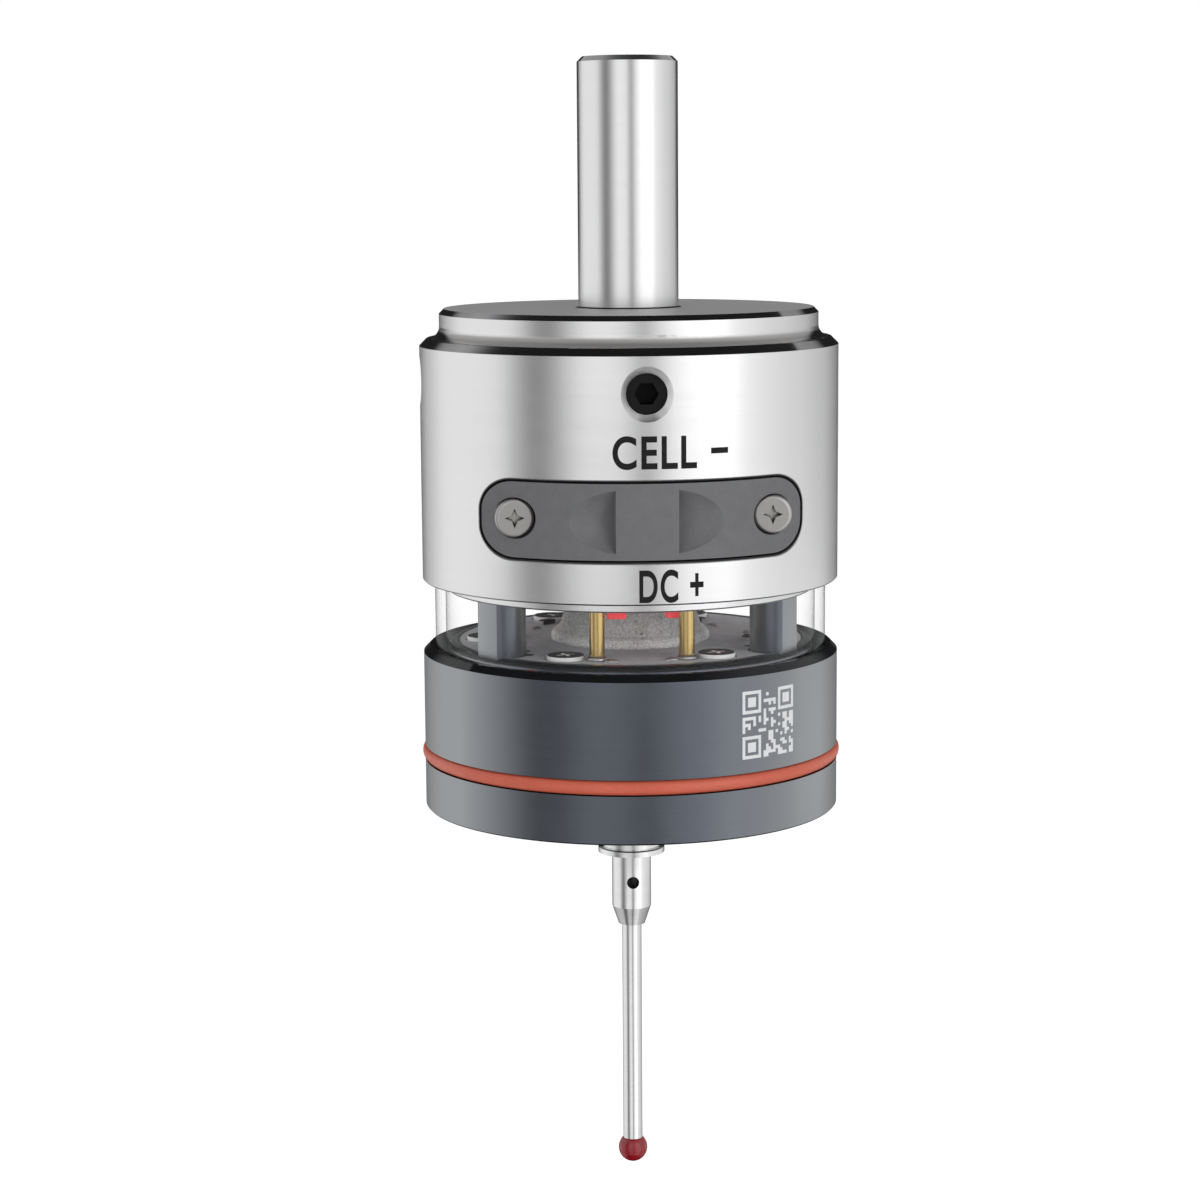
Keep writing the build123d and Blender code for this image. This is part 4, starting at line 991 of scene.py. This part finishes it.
def wrapped(shape, first_degree, foot, strip=0.25):
    """Bends a flat film round the housing: x runs round it, y goes up, and z is the thickness.

    The left end goes to this angle from the front, and the foot to this height in millimetres.
    """
    left = min(vert.co.x for vert in shape.verts)
    right = max(vert.co.x for vert in shape.verts)
    place = left + strip
    while place < right:
        bmesh.ops.bisect_plane(
            shape,
            geom=shape.verts[:] + shape.edges[:] + shape.faces[:],
            dist=1e-5,
            plane_co=(place, 0.0, 0.0),
            plane_no=(1.0, 0.0, 0.0),
        )
        place += strip
    low = min(vert.co.y for vert in shape.verts)
    middle = sum(vert.co.z for vert in shape.verts) / len(shape.verts)
    for vert in shape.verts:
        turn = math.radians(first_degree) + (vert.co.x - left) / HOUSING_RADIUS
        radius = HOUSING_RADIUS + (FILM_RISE if vert.co.z > middle else -FILM_SINK)
        vert.co = Vector((radius * math.sin(turn), -radius * math.cos(turn), foot + vert.co.y - low)) * MM
    bmesh.ops.recalc_face_normals(shape, faces=shape.faces)
    return shape


print("films can be bent round a radius of", HOUSING_RADIUS, "mm")

# %% Turn words into a film
def flat_words(words, height, width):
    """Words as a flat film of this height and width in millimetres."""
    data = bpy.data.curves.new(words, "FONT")
    data.body = words
    data.extrude = 0.05
    data.offset = 0.024
    data.space_character = 1.12
    writing = bpy.data.objects.new(words, data)
    bpy.context.scene.collection.objects.link(writing)
    bpy.context.view_layer.update()
    finished = writing.evaluated_get(bpy.context.evaluated_depsgraph_get())
    mesh = bpy.data.meshes.new_from_object(finished)
    bpy.data.objects.remove(writing)
    shape = bmesh.new()
    shape.from_mesh(mesh)
    bpy.data.meshes.remove(mesh)
    bmesh.ops.remove_doubles(shape, verts=shape.verts, dist=1e-5)
    across = [vert.co.x for vert in shape.verts]
    up = [vert.co.y for vert in shape.verts]
    growth = (width / (max(across) - min(across)), height / (max(up) - min(up)), 1.0)
    bmesh.ops.scale(shape, verts=shape.verts, vec=growth)
    return shape


print("words can be cut from a film")

# %% Print the poles of the cell
LETTER_HEIGHT = 3.17
# Words, width in millimetres, left end in degrees from the front, foot in millimetres
PRINTS = (
    ("cell_mark", "CELL \u2212", 11.2, -9.0, -14.23),
    ("pole_mark", "DC +", 6.2, -2.3, -26.85),
)
for name, words, width, first_degree, foot in PRINTS:
    shape = wrapped(flat_words(words, LETTER_HEIGHT, width), first_degree, foot)
    mark = add_piece(name, shape, ink_and_hole_shade)
    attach(mark, "housing")
print("printed marks:", len(PRINTS))

# %% Fill the block by a rule
CELLS = 21
CELL_SIZE = 6.6 / CELLS
CORNER = 7
FILLED_SHARE = 0.46

cell_chance = random.Random(7)
places = [(column, row) for column in range(CELLS) for row in range(CELLS)]
filled = {place for place in places if cell_chance.random() < FILLED_SHARE}
corners = set()
for left, low in ((0, CELLS - CORNER), (CELLS - CORNER, CELLS - CORNER), (0, 0)):
    for column in range(-1, CORNER + 1):
        for row in range(-1, CORNER + 1):
            from_middle = max(abs(column - CORNER // 2), abs(row - CORNER // 2))
            cell = (left + column, low + row)
            filled.discard(cell)
            if from_middle in (0, 1, 3) and 0 <= cell[0] < CELLS and 0 <= cell[1] < CELLS:
                filled.add(cell)
                corners.add(cell)
# Two cells that touch only at a corner would make an open seam, so one of them goes
touching = True
while touching:
    touching = False
    for column in range(CELLS - 1):
        for row in range(CELLS - 1):
            here, across = (column, row), (column + 1, row + 1)
            right, above = (column + 1, row), (column, row + 1)
            for pair, others in (((here, across), (right, above)), ((right, above), (here, across))):
                if filled.issuperset(pair) and not filled.intersection(others):
                    filled.remove(pair[1] if pair[0] in corners else pair[0])
                    touching = True
print("cells in the block:", len(filled))

# %% Mark the block on the housing
shape = bmesh.new()
bmesh.ops.create_grid(shape, x_segments=CELLS, y_segments=CELLS, size=CELLS * CELL_SIZE / 2.0)
empty = []
for face in shape.faces:
    middle = face.calc_center_median() / CELL_SIZE
    if (round(middle.x) + CELLS // 2, round(middle.y) + CELLS // 2) not in filled:
        empty.append(face)
bmesh.ops.delete(shape, geom=empty, context="FACES")
raised = bmesh.ops.extrude_face_region(shape, geom=shape.faces[:])["geom"]
move_up(shape, raised, FILM_RISE + FILM_SINK)
film = wrapped(shape, first_degree=26.0, foot=-42.5, strip=CELL_SIZE)
block = add_piece("cell_block", film, pale_ink)
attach(block, "housing")
print("block of cells:", round(CELLS * CELL_SIZE, 2), "mm wide")

# %% [markdown]
# ## Small things on the lower board
# A board is never bare: tinned rings lie round its screws, solder has crept up the feet of the two pins, a
# few mounds of solder stand where wires end, there are plated holes, and a few small chips. They are far too
# small for a CAD solid each, and linked copies of an object would be a piece each. So every kind is one
# mesh, in which one small shape is repeated at listed places.

# %% Helper for repeated small shapes
BOARD_TOP = -33.4


def at_places(places, make):
    """One mesh with a small shape at each (radius, degrees from the front), standing on the board."""
    shape = bmesh.new()
    for radius, degrees in places:
        turn = math.radians(degrees)
        place = Vector((radius * math.sin(turn), -radius * math.cos(turn), BOARD_TOP)) * MM
        make(shape, Matrix.Translation(place) @ Matrix.Rotation(turn, 4, "Z"))
    bmesh.ops.recalc_face_normals(shape, faces=shape.faces)
    return shape


def add_detail(name, shape, finish, smooth=False):
    """A small piece of the board, which stands still with the housing."""
    detail = add_piece(name, shape, finish, smooth=smooth)
    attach(detail, "housing")


print("board top at", BOARD_TOP, "mm")

# %% Shapes of tin and solder
def blunt_cone(shape, spot, foot, top, height, segments):
    """A cone without its point. Both its radii and its height are in millimetres."""
    return bmesh.ops.create_cone(
        shape,
        cap_ends=True,
        segments=segments,
        radius1=foot * MM,
        radius2=top * MM,
        depth=height * MM,
        matrix=spot,
    )["verts"]


def ring_pad(shape, spot):
    """A flat ring of tin with soft edges."""
    pad = blunt_cone(shape, spot, foot=2.10, top=2.04, height=0.06, segments=48)
    faces = {face for vert in pad for face in vert.link_faces}
    top = max(faces, key=lambda face: face.calc_center_median().z)
    bmesh.ops.inset_region(shape, faces=[top], thickness=0.30 * MM, depth=0.0, use_even_offset=True)


def solder_cone(shape, spot):
    """Solder that has crept up a pin."""
    raised = spot @ Matrix.Translation((0.0, 0.0, 0.2 * MM))
    blunt_cone(shape, raised, foot=1.15, top=0.80, height=0.5, segments=32)


def solder_mound(shape, spot):
    """A low oblong mound."""
    flat = spot @ Matrix.Diagonal((1.5, 0.7, 0.55, 1.0))
    bmesh.ops.create_uvsphere(shape, u_segments=24, v_segments=14, radius=0.5 * MM, matrix=flat)


print("pads, cones and mounds can be made")

# %% Tin the board
# Radius in millimetres, and degrees from the front
SCREW_PLACES = [(14.7, 60.0 * number + 30.0) for number in range(6)]
PIN_PLACES = [(14.5, -17.5), (14.5, 17.5)]
MOUND_PLACES = [(15.27, -11.6), (14.74, 11.3), (10.84, 123.3), (12.06, 94.9), (11.02, -122.9)]

add_detail("screw_pads", at_places(SCREW_PLACES, ring_pad), solder)
add_detail("pin_solder", at_places(PIN_PLACES, solder_cone), solder, smooth=True)
add_detail("solder_mounds", at_places(MOUND_PLACES, solder_mound), solder, smooth=True)
print("pads:", len(SCREW_PLACES), "mounds:", len(MOUND_PLACES))

# %% Shapes of holes and chips
def plated_hole(shape, spot):
    """A dark disc: painted shade for the inside of a hole."""
    blunt_cone(shape, spot, foot=0.42, top=0.40, height=0.05, segments=24)


def chip_body(shape, spot):
    """A small block with bevelled edges."""
    block = spot @ Matrix.Translation((0.0, 0.0, 0.2 * MM)) @ Matrix.Diagonal((1.6, 0.9, 0.5, 1.0))
    cube = bmesh.ops.create_cube(shape, size=1.0 * MM, matrix=block)["verts"]
    bmesh.ops.bevel(
        shape,
        geom=list({edge for vert in cube for edge in vert.link_edges}),
        offset=0.07 * MM,
        affect="EDGES",
        segments=2,
        profile=0.5,
        material=-1,
    )


def chip_ends(shape, spot):
    """The two tinned ends of a chip."""
    for side in (-0.85, 0.85):
        place = spot @ Matrix.Translation((side * MM, 0.0, 0.15 * MM))
        bmesh.ops.create_cube(shape, size=1.0 * MM, matrix=place @ Matrix.Diagonal((0.25, 0.80, 0.4, 1.0)))


print("holes and chips can be made")

# %% Mark the holes with painted shade and set the chips
HOLE_PLACES = [(13.34, -55.0), (14.69, -46.7), (13.24, 57.8), (11.6, -20.0), (12.2, 24.0), (12.9, 160.0)]
CHIP_PLACES = [(12.2, 140.0), (12.4, -140.0), (11.4, -95.0), (12.0, 75.0)]

# The holes are dark discs: painted shade for the inside of each hole
add_detail("board_holes", at_places(HOLE_PLACES, plated_hole), ink_and_hole_shade)
add_detail("board_chips", at_places(CHIP_PLACES, chip_body), black_plastic)
add_detail("chip_ends", at_places(CHIP_PLACES, chip_ends), solder)
print("holes:", len(HOLE_PLACES), "chips:", len(CHIP_PLACES))
